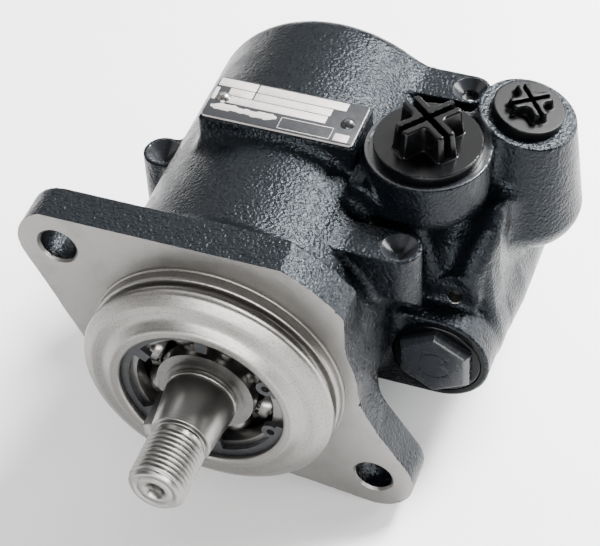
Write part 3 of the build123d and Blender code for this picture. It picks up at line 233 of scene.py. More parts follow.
def two_circles(p, q, end, end_r, r):
    """Hull of a circle of radius r at the origin and one of radius end_r at end."""
    length = np.hypot(*end)
    along = (p * end[0] + q * end[1]) / length
    across = np.abs(q * end[0] - p * end[1]) / length
    lean = (r - end_r) / length
    rise = sqrt(1 - lean * lean)
    turn = rise * along - lean * across
    side = lean * along + rise * across - r
    near = np.hypot(along, across) - r
    far = np.hypot(along - length, across) - end_r
    return np.where(turn < 0, near, np.where(turn > rise * length, far, side))


def polygon(p, q, points):
    """Signed distance to an outline of straight lines."""
    nearest = np.full(np.shape(p), np.inf)
    inside = np.zeros(np.shape(p), bool)
    for (p0, q0), (p1, q1) in zip(points, points[1:] + points[:1]):
        dp, dq = p1 - p0, q1 - q0
        share = np.clip(((p - p0) * dp + (q - q0) * dq) / (dp * dp + dq * dq), 0, 1)
        nearest = np.minimum(nearest, np.hypot(p - p0 - share * dp, q - q0 - share * dq))
        if dq:
            inside ^= ((q0 > q) != (q1 > q)) & (p < p0 + dp * (q - q0) / dq)
    return np.where(inside, -nearest, nearest)


# ---- the casting's own shapes ----
BOLT_SWING = np.array((cos(FLANGE_TILT), sin(FLANGE_TILT))) * BOLT_SPACING / 2
BOLTS = [tuple(-BOLT_SWING), tuple(BOLT_SWING)]


def flange_outline(x, z):
    left, right = BOLTS
    low = np.minimum(
        two_circles(x, z, left, LOBE_R, FLANGE_LOW_R),
        two_circles(x, z, right, LOBE_R, FLANGE_LOW_R),
    )
    above = sin(FLANGE_TILT) * x - cos(FLANGE_TILT) * z
    top = np.maximum(two_circles(x, z, left, LOBE_R, FLANGE_TOP_R), above)
    slope = FLANGE_TILT - WALL_SLOPE
    under = -sin(slope) * (x - right[0]) + cos(slope) * (z - right[1]) - LOBE_R
    keep = blend_in(x - WALL_X, under, WALL_CORNER)
    return np.maximum(np.minimum(low, top), keep)


def flange(x, y, z):
    outline = flange_outline(x, z)
    plate = rounded_meet(outline, y - FLANGE_T, FLANGE_EDGE)
    out = np.hypot(x, z) - FLANGE_TOP_R
    slope_x, slope_y = RIM_BACK - RIM_T, FLANGE_TOP_R - BARREL_R
    cone = (slope_x * out + slope_y * (y - RIM_T)) / np.hypot(slope_x, slope_y)
    rim = rounded_meet(rounded_meet(out, cone, 4.0), outline, FLANGE_EDGE)
    rim = np.maximum(rim, y - RIM_BACK - FLANGE_EDGE)
    return plate, rim


def valve_casing(x, y, z):
    at = VALVE_AT
    front = rod(x, z, y, at, VALVE_BODY_R, VALVE_FRONT, VALVE_END - VALVE_EDGE, 0.8)
    rear = rod(x, z, y, at, VALVE_BODY_R, SWELL_FULL, VALVE_END, VALVE_EDGE)
    grow = np.clip((y - SWELL_START) / (SWELL_FULL - SWELL_START), 0, 1)
    lean = np.hypot(x - at[0] - grow * SWELL[0], z - at[1] - grow * SWELL[1]) - VALVE_BODY_R
    swell = rounded_meet(lean, between(y, SWELL_START, VALVE_END - VALVE_EDGE), VALVE_EDGE)
    low = (WEB_LOW_X, VALVE_FRONT, at[1] - VALVE_BODY_R)
    high = (at[0], VALVE_END - VALVE_EDGE, at[1] + VALVE_BODY_R)
    web = block(x, y, z, low, high, 0.8)
    return np.minimum(np.minimum(front, rear), np.minimum(swell, web))


def standing(crest):
    """A crest line closed down to its foot."""
    return [(crest[0][0], CREST_FOOT)] + crest + [(crest[-1][0], CREST_FOOT)]


def shoulder(x, y, z):
    left = between(y, SHOULDER_FRONT, INLET[1])
    left = rounded_meet(polygon(x, z, standing(LEFT_CREST)), left, LEFT_CREST_EDGE)
    lean = RIGHT_CREST_LEAN * np.clip(y - SHOULDER_FRONT, 0, RIGHT_CREST_REACH)
    right = between(x - lean, *RIGHT_CREST_X)
    right = rounded_meet(polygon(y, z, standing(RIGHT_CREST)), right, RIGHT_CREST_EDGE)
    flank_top = (RIGHT_CREST_X[1] - FLANK_IN - FLANK_R - VALVE[0], FLANK_TOP - VALVE[2])
    rise = np.clip((z - VALVE[2]) / (FLANK_TOP - VALVE[2]), 0, 1)
    across = x - VALVE[0] - lean * rise
    flank = two_circles(across, z - VALVE[2], flank_top, FLANK_R, VALVE_BODY_R - FLANK_IN)
    front = FLANK_FRONT + np.maximum(z - RIGHT_CREST[0][1], 0) / FLANK_SLOPE
    flank = rounded_meet(flank, front - y, FLANK_EDGE)
    flank = rounded_meet(flank, y - SHOULDER_BACK, FLANK_EDGE)
    flank = np.maximum(flank, FLANK_LOW_X - x)
    valley = between(x, INLET[0] - 8, SHOULDER_X - 2)
    valley = rounded_meet(polygon(y, z, standing(VALLEY)), valley, 1.0)
    base = block(x, y, z, (WEB_LOW_X, SHOULDER_FRONT, -6), (SHOULDER_X, SHOULDER_BACK, 8), 1.0)
    deck = block(x, y, z, (WEB_LOW_X, INLET[1], 0), (SHOULDER_X, SHOULDER_BACK, SHOULDER_TOP), 2.5)
    boss = rod(x, z, y, (DRILLING[0], DRILLING[2]), DRILL_BOSS_R, SHOULDER_FRONT, SHOULDER_BACK, 0.5)
    crests = blend_in(left, valley, CREST_FILLET)
    crests = blend_in(crests, np.minimum(right, flank), CREST_FILLET)
    return blend_in(np.minimum(np.minimum(crests, base), deck), boss, DRILL_BOSS_FILLET)


def inlet_boss(x, y, z):
    wall = np.hypot(x - INLET[0], y - INLET[1]) - INLET_BOSS_R
    cup = rounded_meet(wall, INLET[2] - INLET_CUP[0] - z, INLET_CUP[1])
    return rounded_meet(cup, z - INLET[2], 0.5)


def above_outlet(x, y, z):
    """Height over the outlet's face, along its tilted axis."""
    return sum(axis * (p - c) for axis, p, c in zip(OUTLET_AXIS, (x, y, z), OUTLET))


def outlet_boss(x, y, z):
    out = np.hypot(x - OUTLET[0], y - OUTLET[1])
    draft = tan(OUTLET_DRAFT)
    column = (out - OUTLET_BOSS_R - draft * (OUTLET[2] - z)) * cos(OUTLET_DRAFT)
    foot_r = OUTLET_BOSS_R + draft * (OUTLET[2] - OUTLET_FOOT)
    under = (np.hypot(out, (z - OUTLET_FOOT) / OUTLET_DOME) - foot_r) * 0.8
    return rounded_meet(np.where(z > OUTLET_FOOT, column, under), above_outlet(x, y, z), 0.5)


def lug(x, y, z, name, root_x, low_z):
    at_x, at_y, top = LUGS[name]
    post = rod(x, y, z, (at_x, at_y), LUG_R, low_z, top, LUG_EDGE)
    low = (min(at_x, root_x), at_y - LUG_R, low_z)
    high = (max(at_x, root_x), at_y + LUG_R, top)
    return np.minimum(post, block(x, y, z, low, high, LUG_EDGE))


def front_lug(x, y, z):
    column = lug(x, y, z, "front", 15, VALVE[2] + VALVE_BODY_R)
    behind = y - LUGS["front"][1] + LUG_R
    under = (FRONT_LUG_FOOT - FRONT_LUG_SLOPE * behind - z) / sqrt(1 + FRONT_LUG_SLOPE**2)
    return rounded_meet(column, under, 0.8)


def machining(x, y, z):
    """Everything that is cut out of the rough casting, as one solid."""
    tilted = above_outlet(x, y, z)
    off_axis = np.sqrt(np.maximum(sum((p - c) ** 2 for p, c in zip((x, y, z), OUTLET)) - tilted**2, 0))
    shaft = np.hypot(x, z)
    valve = np.hypot(x - VALVE[0], z - VALVE[2])
    inlet = np.hypot(x - INLET[0], y - INLET[1])
    cuts = [
        np.maximum(shaft - CAVITY_R, CAVITY_FRONT - y),
        (shaft - CAVITY_R - CAVITY_CHAMFER + BARREL_END - y) * CONE_SCALE,
        np.maximum(np.hypot(x - DRILLING[0], z - DRILLING[2]) - DRILLING_R, between(y, 20, 70)),
        np.maximum(inlet - INLET_SPOT_R, INLET[2] - INLET_SPOT - z),
        np.maximum(off_axis - OUTLET_BORE_R, OUTLET_BORE_END - tilted),
        np.maximum(off_axis - OUTLET_WAY[0], between(tilted, OUTLET_WAY[1], 0)),
        rod(x, y, z, LUGS["rear"][:2], REAR_LUG_THREAD_R, 10, 40, 0),
    ]
    cuts += [np.maximum(shaft - r, y - end) for r, end in SHAFT_BORES]
    cuts += [np.maximum(valve - r, between(y, VALVE_MOUTH, end)) for r, end in VALVE_BORES]
    cuts += [np.maximum(inlet - r, end - z) for r, end in INLET_BORES]
    for at in BOLTS:
        hole = np.hypot(x - at[0], z - at[1]) - BOLT_HOLE_R
        cuts.append(np.maximum(hole, y - 30))
        cuts.append((hole - BOLT_CHAMFER + y) * CONE_SCALE)
    for at_x, at_y, top in LUGS.values():
        cone = (np.hypot(x - at_x, y - at_y) - (z - top + LUG_CONE)) * CONE_SCALE
        cuts.append(np.maximum(cone, z - top - 1))
    return np.minimum.reduce(cuts)


def casting(x, y, z):
    """The machined housing, without its pilot."""
    plate, rim = flange(x, y, z)
    body = rod(x, z, y, BARREL_AT, BARREL_R, -20, BARREL_END, BARREL_EDGE)
    body = blend_in(blend_in(body, plate, 1.5), rim, 0.8)
    apron = np.clip((PLATE_HIGH[0] - 1 - x) / PAD_APRON_END, 0, 1)
    pad_low = (PLATE_LOW[0] - PAD_RIM, PLATE_LOW[1] - PAD_RIM, 25)
    pad_high = (PLATE_HIGH[0] + PAD_RIM, PLATE_HIGH[1] + PAD_RIM, PLATE_LOW[2])
    for part, fillet in (
        (valve_casing(x, y, z), 4.0),
        (shoulder(x, y, z), 3.0),
        (inlet_boss(x, y, z), 1.5),
        (outlet_boss(x, y, z), 4.0),
        (front_lug(x, y, z), 2.2),
        (lug(x, y, z, "rear", 15, 24.0), 2.5),
        (lug(x, y, z, "left", -20, -9.0), 2.5),
        (block(x, y, z, pad_low, pad_high, PAD_EDGE), PAD_FILLET + (PAD_APRON - PAD_FILLET) * apron),
    ):
        body = blend_in(body, part, fillet)
    body = np.where(x < PLATE_HIGH[0] + 1, np.maximum(body, z - PLATE_LOW[2]), body)
    return np.maximum(np.maximum(body, -machining(x, y, z)), -y)


# ---- from a field to a mesh ----
POINT_HOLD = 0.05  # keeps a cell's point near the middle of its crossings
POINT_REACH = 0.9  # and the most it moves from there, in cells


def sample_edges(field, low, high, step):
    """Grid edges that cross the surface, for each axis: cell index, crossing, whether it leaves."""
    counts = np.ceil((np.array(high) - low) / step).astype(int) + 1
    lines = [low[i] + step * np.arange(counts[i]) for i in range(3)]
    slices = [field(*np.meshgrid([x], lines[1], lines[2], indexing="ij"))[0] for x in lines[0]]
    values = np.array(slices)
    found = []
    for axis in range(3):
        near = [slice(None)] * 3
        far = [slice(None)] * 3
        near[axis] = slice(0, -1)
        far[axis] = slice(1, None)
        start, end = values[tuple(near)], values[tuple(far)]
        crossing = (start < 0) != (end < 0)
        index = np.argwhere(crossing)
        point = low + step * index.astype(float)
        point[:, axis] += step * start[crossing] / (start[crossing] - end[crossing])
        found.append((index, point, start[crossing] < 0))
    return counts - 1, found


def gradient(field, points, reach):
    """Unit normals of a field at some points."""
    normals = np.empty_like(points)
    for axis in range(3):
        shift = np.zeros(3)
        shift[axis] = reach
        normals[:, axis] = field(*(points + shift).T) - field(*(points - shift).T)
    return normals / (np.linalg.norm(normals, axis=1, keepdims=True) + 1e-12)


def contour(field, low, high, step):
    """Dual contour of a field: a point in each crossed cell, drawn onto sharp edges, and quads."""
    cells, found = sample_edges(field, np.array(low, float), high, step)
    points = np.concatenate([point for _, point, _ in found])
    normals = gradient(field, points, step / 20)
    owners, edges, quads = [], [], []
    start = 0
    for axis, (index, point, leaves) in enumerate(found):
        u, v = (axis + 1) % 3, (axis + 2) % 3
        ring = []
        for step_u, step_v in ((1, 1), (0, 1), (0, 0), (1, 0)):
            cell = index.copy()
            cell[:, u] -= step_u
            cell[:, v] -= step_v
            ring.append(np.ravel_multi_index(np.clip(cell, 0, cells - 1).T, cells))
        quad = np.stack(ring, 1)
        quad[~leaves] = quad[~leaves][:, ::-1]
        quads.append(quad)
        owners.extend(ring)
        edges.extend([np.arange(start, start + len(index))] * 4)
        start += len(index)
    used, owner = np.unique(np.concatenate(owners), return_inverse=True)
    at = points[np.concatenate(edges)]
    facing = normals[np.concatenate(edges)]
    count = np.bincount(owner)[:, None]
    mean = np.stack([np.bincount(owner, at[:, i]) for i in range(3)], 1) / count
    offset = (facing * (at - mean[owner])).sum(1)
    sides = np.stack([np.bincount(owner, facing[:, i] * offset) for i in range(3)], 1)
    matrix = np.empty((len(used), 3, 3))
    for i in range(3):
        for j in range(3):
            matrix[:, i, j] = np.bincount(owner, facing[:, i] * facing[:, j])
    move = np.linalg.solve(matrix + POINT_HOLD * np.eye(3), sides[:, :, None])[:, :, 0]
    reach = np.linalg.norm(move, axis=1, keepdims=True) + 1e-9
    move *= np.minimum(1, POINT_REACH * step / reach)
    return mean + move, np.searchsorted(used, np.concatenate(quads))


# ---- making objects ----
def link_new(name, data):
    """A new object in the scene, at the origin."""
    item = bpy.data.objects.new(name, data)
    bpy.context.collection.objects.link(item)
    return item


def add_object(name, points, faces, body):
    """A new piece from points in millimetres, riding on a CAD body."""
    mesh = bpy.data.meshes.new(name)
    mesh.from_pydata(np.asarray(points) * MM, [], np.asarray(faces).tolist() if len(faces) else [])
    mesh.validate()
    piece = link_new(name, mesh)
    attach(piece, body)
    return piece


def soften(piece, angle=35):
    """Smooth shading, except over edges sharper than an angle."""
    piece.data.shade_smooth()
    piece.data.set_sharp_from_angle(angle=radians(angle))


def cast_piece(name, field, low, high, step, body=ROOT, limit=None, thin=1.0):
    """A piece contoured from its field, its flat parts thinned to a limit or a share of triangles.

    The casting's blocks are also held to the CAD's box, which fine sampling passes by a hair.
    """
    points, faces = contour(field, low, high, step)
    if name.startswith("casting"):
        points = np.clip(points, CASTING_LOW, CASTING_HIGH)
    piece = add_object(name, points, faces, body)
    if limit:
        thin = min(1.0, limit / (len(faces) * 2))
    if thin < 1:
        modifier = piece.modifiers.new("thin", "DECIMATE")
        modifier.ratio = thin
        bpy.context.view_layer.objects.active = piece
        bpy.ops.object.modifier_apply(modifier=modifier.name)
    soften(piece)
    return piece


def ease(profile, r, steps=4):
    """An open profile with its inner corners rounded to about radius r, or less on short sides."""
    side_share = 0.45
    points = [np.array(p, float) for p in profile]
    line = [points[0]]
    for before, corner, after in zip(points, points[1:], points[2:]):
        back, ahead = before - corner, after - corner
        before_len, after_len = np.linalg.norm(back), np.linalg.norm(ahead)
        reach = min(r, before_len * side_share, after_len * side_share)
        start = corner + back / before_len * reach
        end = corner + ahead / after_len * reach
        for t in np.linspace(0, 1, steps + 1):
            line.append((1 - t) ** 2 * start + 2 * t * (1 - t) * corner + t * t * end)
    return line + [points[-1]]


def spin(name, rows, centre=(0, 0, 0), axis=(0, 1, 0), turns=96, body=ROOT, angle=35):
    """A turned piece: rows of (radius, along), where a radius is one number or one for each angle."""
    angles = np.arange(turns) * 2 * pi / turns
    axis = np.array(axis, float)
    side = np.cross(axis, (0, 0, 1) if abs(axis[2]) < 0.9 else (0, 1, 0))
    side /= np.linalg.norm(side)
    up = np.cross(side, axis)
    rings = []
    for radius, along in rows:
        reach = np.broadcast_to(radius, turns)[:, None]
        ring = reach * (np.cos(angles)[:, None] * side + np.sin(angles)[:, None] * up)
        rings.append(ring + axis * along + np.array(centre))
    faces = []
    for row in range(len(rows) - 1):
        for i in range(turns):
            j = (i + 1) % turns
            near, far = row * turns, (row + 1) * turns
            faces.append((near + i, near + j, far + j, far + i))
    piece = add_object(name, np.concatenate(rings), faces, body)
    shape = bmesh.new()
    shape.from_mesh(piece.data)
    bmesh.ops.remove_doubles(shape, verts=shape.verts, dist=1e-6)
    bmesh.ops.dissolve_degenerate(shape, edges=shape.edges, dist=1e-7)
    bmesh.ops.recalc_face_normals(shape, faces=shape.faces)
    shape.to_mesh(piece.data)
    shape.free()
    soften(piece, angle)
    return piece


# ---- materials ----
class Finish:
    """A node material built up layer by layer, in the row frame's own coordinates."""

    def __init__(self, name, colour, roughness, metallic=0.0, **sockets):
        self.material = bpy.data.materials.new(name)
        self.material.use_nodes = True
        self.nodes = self.material.node_tree.nodes
        self.links = self.material.node_tree.links
        self.shader = self.nodes["Principled BSDF"]
        self.place = self.nodes.new("ShaderNodeTexCoord").outputs["Object"]
        self.set("Base Color", (*colour, 1))
        self.set("Roughness", roughness)
        self.set("Metallic", metallic)
        for socket, value in sockets.items():
            self.set(socket.replace("_", " "), value)

    def set(self, socket, value):
        self.shader.inputs[socket].default_value = value

    def node(self, kind, values=None, **settings):
        """A new node with the values of some inputs."""
        node = self.nodes.new("ShaderNode" + kind)
        for key, value in settings.items():
            setattr(node, key, value)
        for socket, value in (values or {}).items():
            node.inputs[socket].default_value = value
        return node

    def wire(self, source, target):
        self.links.new(source, target)

    def math(self, operation, *sockets):
        node = self.node("Math", operation=operation)
        for source, target in zip(sockets, node.inputs):
            self.wire(source, target)
        return node.outputs[0]

    def ramp(self, mask, low, high):
        """A mask stretched so that low reads 0 and high reads 1."""
        values = {"From Min": low, "From Max": high}
        node = self.node("MapRange", values, interpolation_type="SMOOTHSTEP")
        self.wire(mask, node.inputs["Value"])
        return node.outputs["Result"]

    def noise(self, size, detail=3.0, stretch=(1, 1, 1)):
        """Cloudy noise whose lumps are about size millimetres across."""
        scale = self.node("Mapping", {"Scale": stretch})
        self.wire(self.place, scale.inputs["Vector"])
        node = self.node("TexNoise", {"Scale": 1 / (size * MM), "Detail": detail, "Roughness": 0.55})
        self.wire(scale.outputs["Vector"], node.inputs["Vector"])
        return node.outputs["Fac"]

    def cells(self, size):
        node = self.node("TexVoronoi", {"Scale": 1 / (size * MM)}, feature="SMOOTH_F1")
        self.wire(self.place, node.inputs["Vector"])
        return node.outputs["Distance"]

    def along(self, axis):
        split = self.node("SeparateXYZ")
        self.wire(self.place, split.inputs[0])
        return split.outputs[axis]

    def from_shaft(self):
        """Distance from the shaft's axis."""
        x, z = self.along("X"), self.along("Z")
        squares = self.math("MULTIPLY", x, x), self.math("MULTIPLY", z, z)
        return self.math("SQRT", self.math("ADD", *squares))

    def marks(self, size, where):
        """Fine tool marks, which change with one measure only."""
        values = {"Scale": 1 / (size * MM), "Detail": 2.0}
        node = self.node("TexNoise", values, noise_dimensions="1D")
        self.wire(where, node.inputs["W"])
        return node.outputs["Fac"]

    def mix(self, kind, socket, mask, value):
        """Moves a socket to a value where the mask is 1, over what is there."""
        target = self.shader.inputs[socket]
        mix = self.node("Mix", data_type=kind)
        self.wire(mask, mix.inputs["Factor"])
        if target.is_linked:
            self.wire(target.links[0].from_socket, mix.inputs["A"])
        else:
            mix.inputs["A"].default_value = target.default_value
        mix.inputs["B"].default_value = value
        self.wire(mix.outputs["Result"], target)

    def tint(self, mask, colour):
        self.mix("RGBA", "Base Color", mask, (*colour, 1))

    def change(self, socket, mask, value):
        self.mix("FLOAT", socket, mask, value)

    def bump(self, height, depth, strength):
        """Adds relief of a depth in millimetres."""
        node = self.node("Bump", {"Distance": depth * MM, "Strength": strength})
        normal = self.shader.inputs["Normal"]
        if normal.is_linked:
            self.wire(normal.links[0].from_socket, node.inputs["Normal"])
        self.wire(height, node.inputs["Height"])
        self.wire(node.outputs["Normal"], normal)

    def clouds(self, colour, size, low, high, detail=3.0):
        """Patches of another colour."""
        self.tint(self.ramp(self.noise(size, detail), low, high), colour)

    def dull(self, roughness, size, low=0.4, high=0.66):
        """Patches of another roughness."""
        self.change("Roughness", self.ramp(self.noise(size), low, high), roughness)

    def grain(self, size, depth, strength, detail=2.0):
        self.bump(self.noise(size, detail), depth, strength)


def cast_paint():
    """Semi-gloss black paint over a sand-cast skin: swells, pebbles and a fine grain."""
    finish = Finish("cast_paint", (0.0016, 0.0022, 0.003), 0.24, Specular_IOR_Level=0.15)
    finish.set("Specular Tint", (0.80, 0.90, 1.0, 1))
    grain = finish.noise(0.8, 2.0)
    finish.tint(finish.ramp(grain, 0.52, 0.72), (0.004, 0.005, 0.0065))
    finish.dull(0.34, 6.0, 0.4, 0.65)
    finish.grain(8.0, 0.4, 0.5)
    finish.bump(finish.cells(0.95), 0.2, 0.8)
    finish.bump(grain, 0.38, 0.9)
    return finish.material


def bare_face():
    """The milled flange face: bare grey metal with a fine grain."""
    finish = Finish("bare_face", (0.235, 0.228, 0.218), 0.42, 1.0)
    finish.clouds((0.205, 0.199, 0.189), 9.0, 0.45, 0.7, 4.0)
    finish.clouds((0.165, 0.158, 0.147), 0.5, 0.62, 0.75, 1.0)
    finish.dull(0.5, 2.0, 0.4, 0.7)
    finish.grain(0.35, 0.03, 0.5)
    return finish.material


def turned_metal():
    """The turned pilot: faint rings round the shaft's axis under a blasted grain."""
    finish = Finish("turned_metal", (0.235, 0.226, 0.214), 0.38, 1.0)
    marks = finish.marks(0.6, finish.from_shaft())
    grain = finish.noise(0.45, 2.0)
    finish.tint(finish.ramp(marks, 0.45, 0.7), (0.21, 0.202, 0.19))
    finish.tint(finish.ramp(grain, 0.5, 0.75), (0.13, 0.122, 0.113))
    finish.dull(0.42, 1.2, 0.4, 0.7)
    finish.bump(marks, 0.006, 0.2)
    finish.bump(grain, 0.05, 0.6)
    return finish.material


def ground_steel():
    """The drive shaft: ground steel with fine marks round it."""
    finish = Finish("ground_steel", (0.23, 0.225, 0.215), 0.32, 1.0)
    marks = finish.marks(0.3, finish.along("Y"))
    finish.tint(finish.ramp(marks, 0.4, 0.7), (0.20, 0.195, 0.186))
    finish.dull(0.36, 4.0, 0.45, 0.7)
    finish.bump(marks, 0.004, 0.25)
    return finish.material


def bright_steel(name, colour=(0.20, 0.197, 0.19), roughness=0.3):
    """Hardened, polished steel of rings, balls, the cage and springs."""
    finish = Finish(name, colour, roughness, 1.0)
    worn = finish.ramp(finish.noise(1.8), 0.45, 0.7)
    finish.tint(worn, tuple(0.85 * part for part in colour))
    finish.change("Roughness", worn, roughness + 0.06)
    finish.grain(0.6, 0.004, 0.3, 3.0)
    return finish.material


def plate_metal():
    """Bare aluminium of the name plate's empty fields, lightly rubbed."""
    finish = Finish("plate_metal", (0.40, 0.37, 0.355), 0.5, 0.25)
    finish.clouds((0.33, 0.30, 0.288), 2.4, 0.5, 0.72, 4.0)
    finish.dull(0.52, 0.8)
    finish.bump(finish.noise(0.4, 2.0, (0.3, 1, 1)), 0.02, 0.5)
    return finish.material


def rivet_heads():
    """Steel rivets: the left one rubbed bright, the right one still black."""
    finish = Finish("rivet_heads", (0.012, 0.013, 0.015), 0.26)
    worn = finish.ramp(finish.along("X"), MM, -MM)
    finish.tint(worn, (0.24, 0.23, 0.22))
    finish.change("Metallic", worn, 1.0)
    finish.dull(0.36, 0.8)
    finish.grain(0.5, 0.02, 0.5)
    return finish.material


def mottled(name, colour, roughness, metallic, clouds, dull, grain, specular=0.5):
    """A finish with patches of another colour and of another roughness under a fine grain."""
    finish = Finish(name, colour, roughness, metallic, Specular_IOR_Level=specular)
    finish.clouds(*clouds)
    if dull:
        finish.dull(*dull)
    finish.grain(*grain)
    return finish.material


def smooth_black(name, colour, patches, roughness, dull, specular):
    """Smooth black of the machined seats and the plug, or a much deeper, glossier black with weak
    reflection: painted shade for the plug's collar and the valve casing's mouth.
    """
    clouds = (patches, 3.0, 0.55, 0.75, 4.0)
    return mottled(name, colour, roughness, 0.0, clouds, (dull, 2.4, 0.42), (1.1, 0.02, 0.4), specular)


def cap_plastic(name, roughness, specular):
    """Moulded black polyethylene."""
    clouds = ((0.0022, 0.0023, 0.0026), 4.0, 0.5, 0.72)
    dull = (roughness + 0.03, 3.5)
    grain = (2.2, 0.015, 0.3)
    return mottled(name, (0.0014, 0.0015, 0.0018), roughness, 0.0, clouds, dull, grain, specular)


def sintered(name, colour, roughness):
    """Grey iron plates or bronze bushes."""
    clouds = (tuple(0.7 * part for part in colour), 0.5, 0.5, 0.7)
    dull = (roughness + 0.12, 1.5, 0.4, 0.65)
    return mottled(name, colour, roughness, 0.9, clouds, dull, (0.25, 0.02, 0.4, 3.0))


def studio_floor():
    finish = Finish("studio_floor", (0.90, 0.90, 0.90), 0.7)
    finish.clouds((0.885, 0.885, 0.885), 60.0, 0.45, 0.7)
    return finish.material


PAINT = cast_paint()
FACE = bare_face()
TURNED = turned_metal()
BORED = mottled(
    "bored_metal", (0.16, 0.155, 0.148), 0.36, 1.0,
    clouds=((0.12, 0.117, 0.112), 3.0, 0.45, 0.65), dull=(0.45, 1.5, 0.4, 0.65), grain=(0.4, 0.03, 0.4),
)
SHAFT = ground_steel()
BRIGHT = bright_steel("bearing_polish")
BALLS = bright_steel("ball_polish", (0.30, 0.295, 0.285), 0.12)
CAGE = bright_steel("pressed_cage", (0.15, 0.145, 0.138), 0.3)
# black oxide of the clips, springs and plug body; on the drilling's ball it is painted shade that makes
# the drilling read dark
OXIDE_AND_HOLE_SHADE = mottled(
    "black_oxide_and_hole_shade", (0.028, 0.029, 0.032), 0.36, 0.6,
    clouds=((0.045, 0.045, 0.047), 1.5, 0.5, 0.72), dull=(0.48, 0.8, 0.4, 0.65), grain=(0.3, 0.02, 0.5),
)
RIVETS = rivet_heads()
PLUG_PAINT = smooth_black("plug_paint", (0.013, 0.0145, 0.017), (0.015, 0.0165, 0.019), 0.24, 0.29, 0.45)
# painted shade: a near-black with little reflection that darkens the plug's collar and the valve
# casing's mouth, where the recess lies in shade
MOUTH_SHADE_BLACK = smooth_black("plug_mouth_painted_shade", (0.0012, 0.0014, 0.0018), (0.002, 0.0023, 0.0028), 0.2, 0.26, 0.1)
PLASTIC = cap_plastic("cap_plastic", 0.24, 0.16)
DULL_PLASTIC = cap_plastic("cap_plastic_dull", 0.32, 0.06)
PLATE_METAL = plate_metal()
PLATE_PRINT = mottled(
    "plate_print", (0.008, 0.009, 0.011), 0.32, 0.0, specular=0.3,
    clouds=((0.02, 0.021, 0.023), 0.7, 0.62, 0.78), dull=(0.46, 1.0), grain=(0.5, 0.015, 0.5),
)
RUBBER = mottled(
    "soft_rubber", (0.018, 0.018, 0.019), 0.62, 0.0,
    clouds=((0.030, 0.030, 0.031), 1.2, 0.5, 0.7), dull=None, grain=(0.3, 0.02, 0.4, 3.0),
)
IRON = sintered("plate_iron", (0.13, 0.128, 0.125), 0.5)
BRONZE = sintered("bush_bronze", (0.45, 0.28, 0.13), 0.42)

CAD_FINISHES = [
    (BRIGHT, "bearing_outer_ring bearing_inner_ring shaft_ring locating_pins flow_spool valve_spring"),
    (BALLS, "bearing_balls"),
    (CAGE, "bearing_cage"),
    (SHAFT, "woodruff_key rotor"),
    # painted shade in part: the drilling's ball takes this dark finish so that its hole reads dark,
    # while the clips and springs really are black oxide
    (OXIDE_AND_HOLE_SHADE, "bearing_circlip plate_spring cover_snap_ring rotor_clip drilling_ball"),
    (IRON, "front_plate cam_ring pressure_plate rear_cover"),
    (BRONZE, "journal_bush"),
    (RUBBER, "shaft_seal plate_o_ring cover_o_ring valve_plug_seal"),
    (RIVETS, "name_plate_rivets"),
]


def paint(piece, material):
    piece.data.materials.clear()
    piece.data.materials.append(material)
    return piece


def finish_cad_nodes():
    finishes = {name: material for material, names in CAD_FINISHES for name in names.split()}
    for name, node in frame["nodes"].items():
        material = BRIGHT if name.startswith("vane_") else finishes.get(name)
        if material:
            for slot in node.material_slots:
                slot.material = material


# ---- casting and its machined faces ----
FINE_ZONES = {
    "port_rims": ((24.0, 37.0, 38.6), (82.0, 92.0, 46.0)),
    "front_lug": ((15.0, 21.0, 26.5), (50.0, 36.0, 32.0)),
    "rear_lug": ((30.0, 87.0, 27.5), (50.0, 102.0, 32.0)),
    "left_lug": ((-49.0, 55.0, 6.0), (-33.0, 71.0, 12.0)),
    "valve_mouth": ((35.0, 29.0, -30.0), (69.0, 34.5, 3.0)),
    "drilling_mouth": ((46.0, 38.0, -3.5), (62.0, 42.5, 12.5)),
}
CUT_NEAR = 0.12  # faces this near a cut are its walls


def zone_field(zone, shrink=0.0):
    """A plain box, to part the casting into coarse and fine blocks."""
    low, high = np.array(zone[0]) + shrink, np.array(zone[1]) - shrink

    def field(x, y, z):
        return np.maximum.reduce([between(p, low[i], high[i]) for i, p in enumerate((x, y, z))])

    return field


def coarse_casting(x, y, z):
    fine = [zone_field(zone, FINE_LAP)(x, y, z) for zone in FINE_ZONES.values()]
    return np.maximum(casting(x, y, z), -np.minimum.reduce(fine))


def near(x, y, centre, r):
    return np.hypot(x - centre[0], y - centre[1]) < r


def finish_casting(piece):
    """Paint on the cast skin, smooth black on seats, a painted-shade black round the plug, bare metal
    where it is cut.
    """
    for material in (PAINT, FACE, BORED, PLUG_PAINT, MOUTH_SHADE_BLACK):
        piece.data.materials.append(material)
    painted, milled, bored, seat, ring = range(5)
    count = len(piece.data.polygons)
    centres = np.empty(count * 3)
    facing = np.empty(count * 3)
    piece.data.polygons.foreach_get("center", centres)
    piece.data.polygons.foreach_get("normal", facing)
    x, y, z = (centres / MM).reshape(-1, 3).T
    finish = np.where(machining(x, y, z) < CUT_NEAR, bored, painted)
    finish[(y < 0.06) & (facing.reshape(-1, 3)[:, 1] < -0.9)] = milled
    for bolt in BOLTS:
        finish[near(x, z, bolt, BOLT_HOLE_R + 0.15) & (y > 0.8) & (y < FLANGE_T)] = painted
    for at_x, at_y, top in LUGS.values():
        finish[near(x, y, (at_x, at_y), LUG_CONE + 0.2) & (z > top - LUG_CONE) & (z < top + 0.5)] = seat
    # painted shade: the valve casing's mouth round the plug takes the near-black shade material
    finish[near(x, z, VALVE_AT, VALVE_BODY_R - 0.9) & (y > 30) & (y < 33)] = ring
    finish[near(x, y, INLET, INLET_BOSS_R - 0.3) & (z > INLET[2] - 1.5)] = seat
    piece.data.polygons.foreach_set("material_index", finish.astype(np.int32))
    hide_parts("housing")


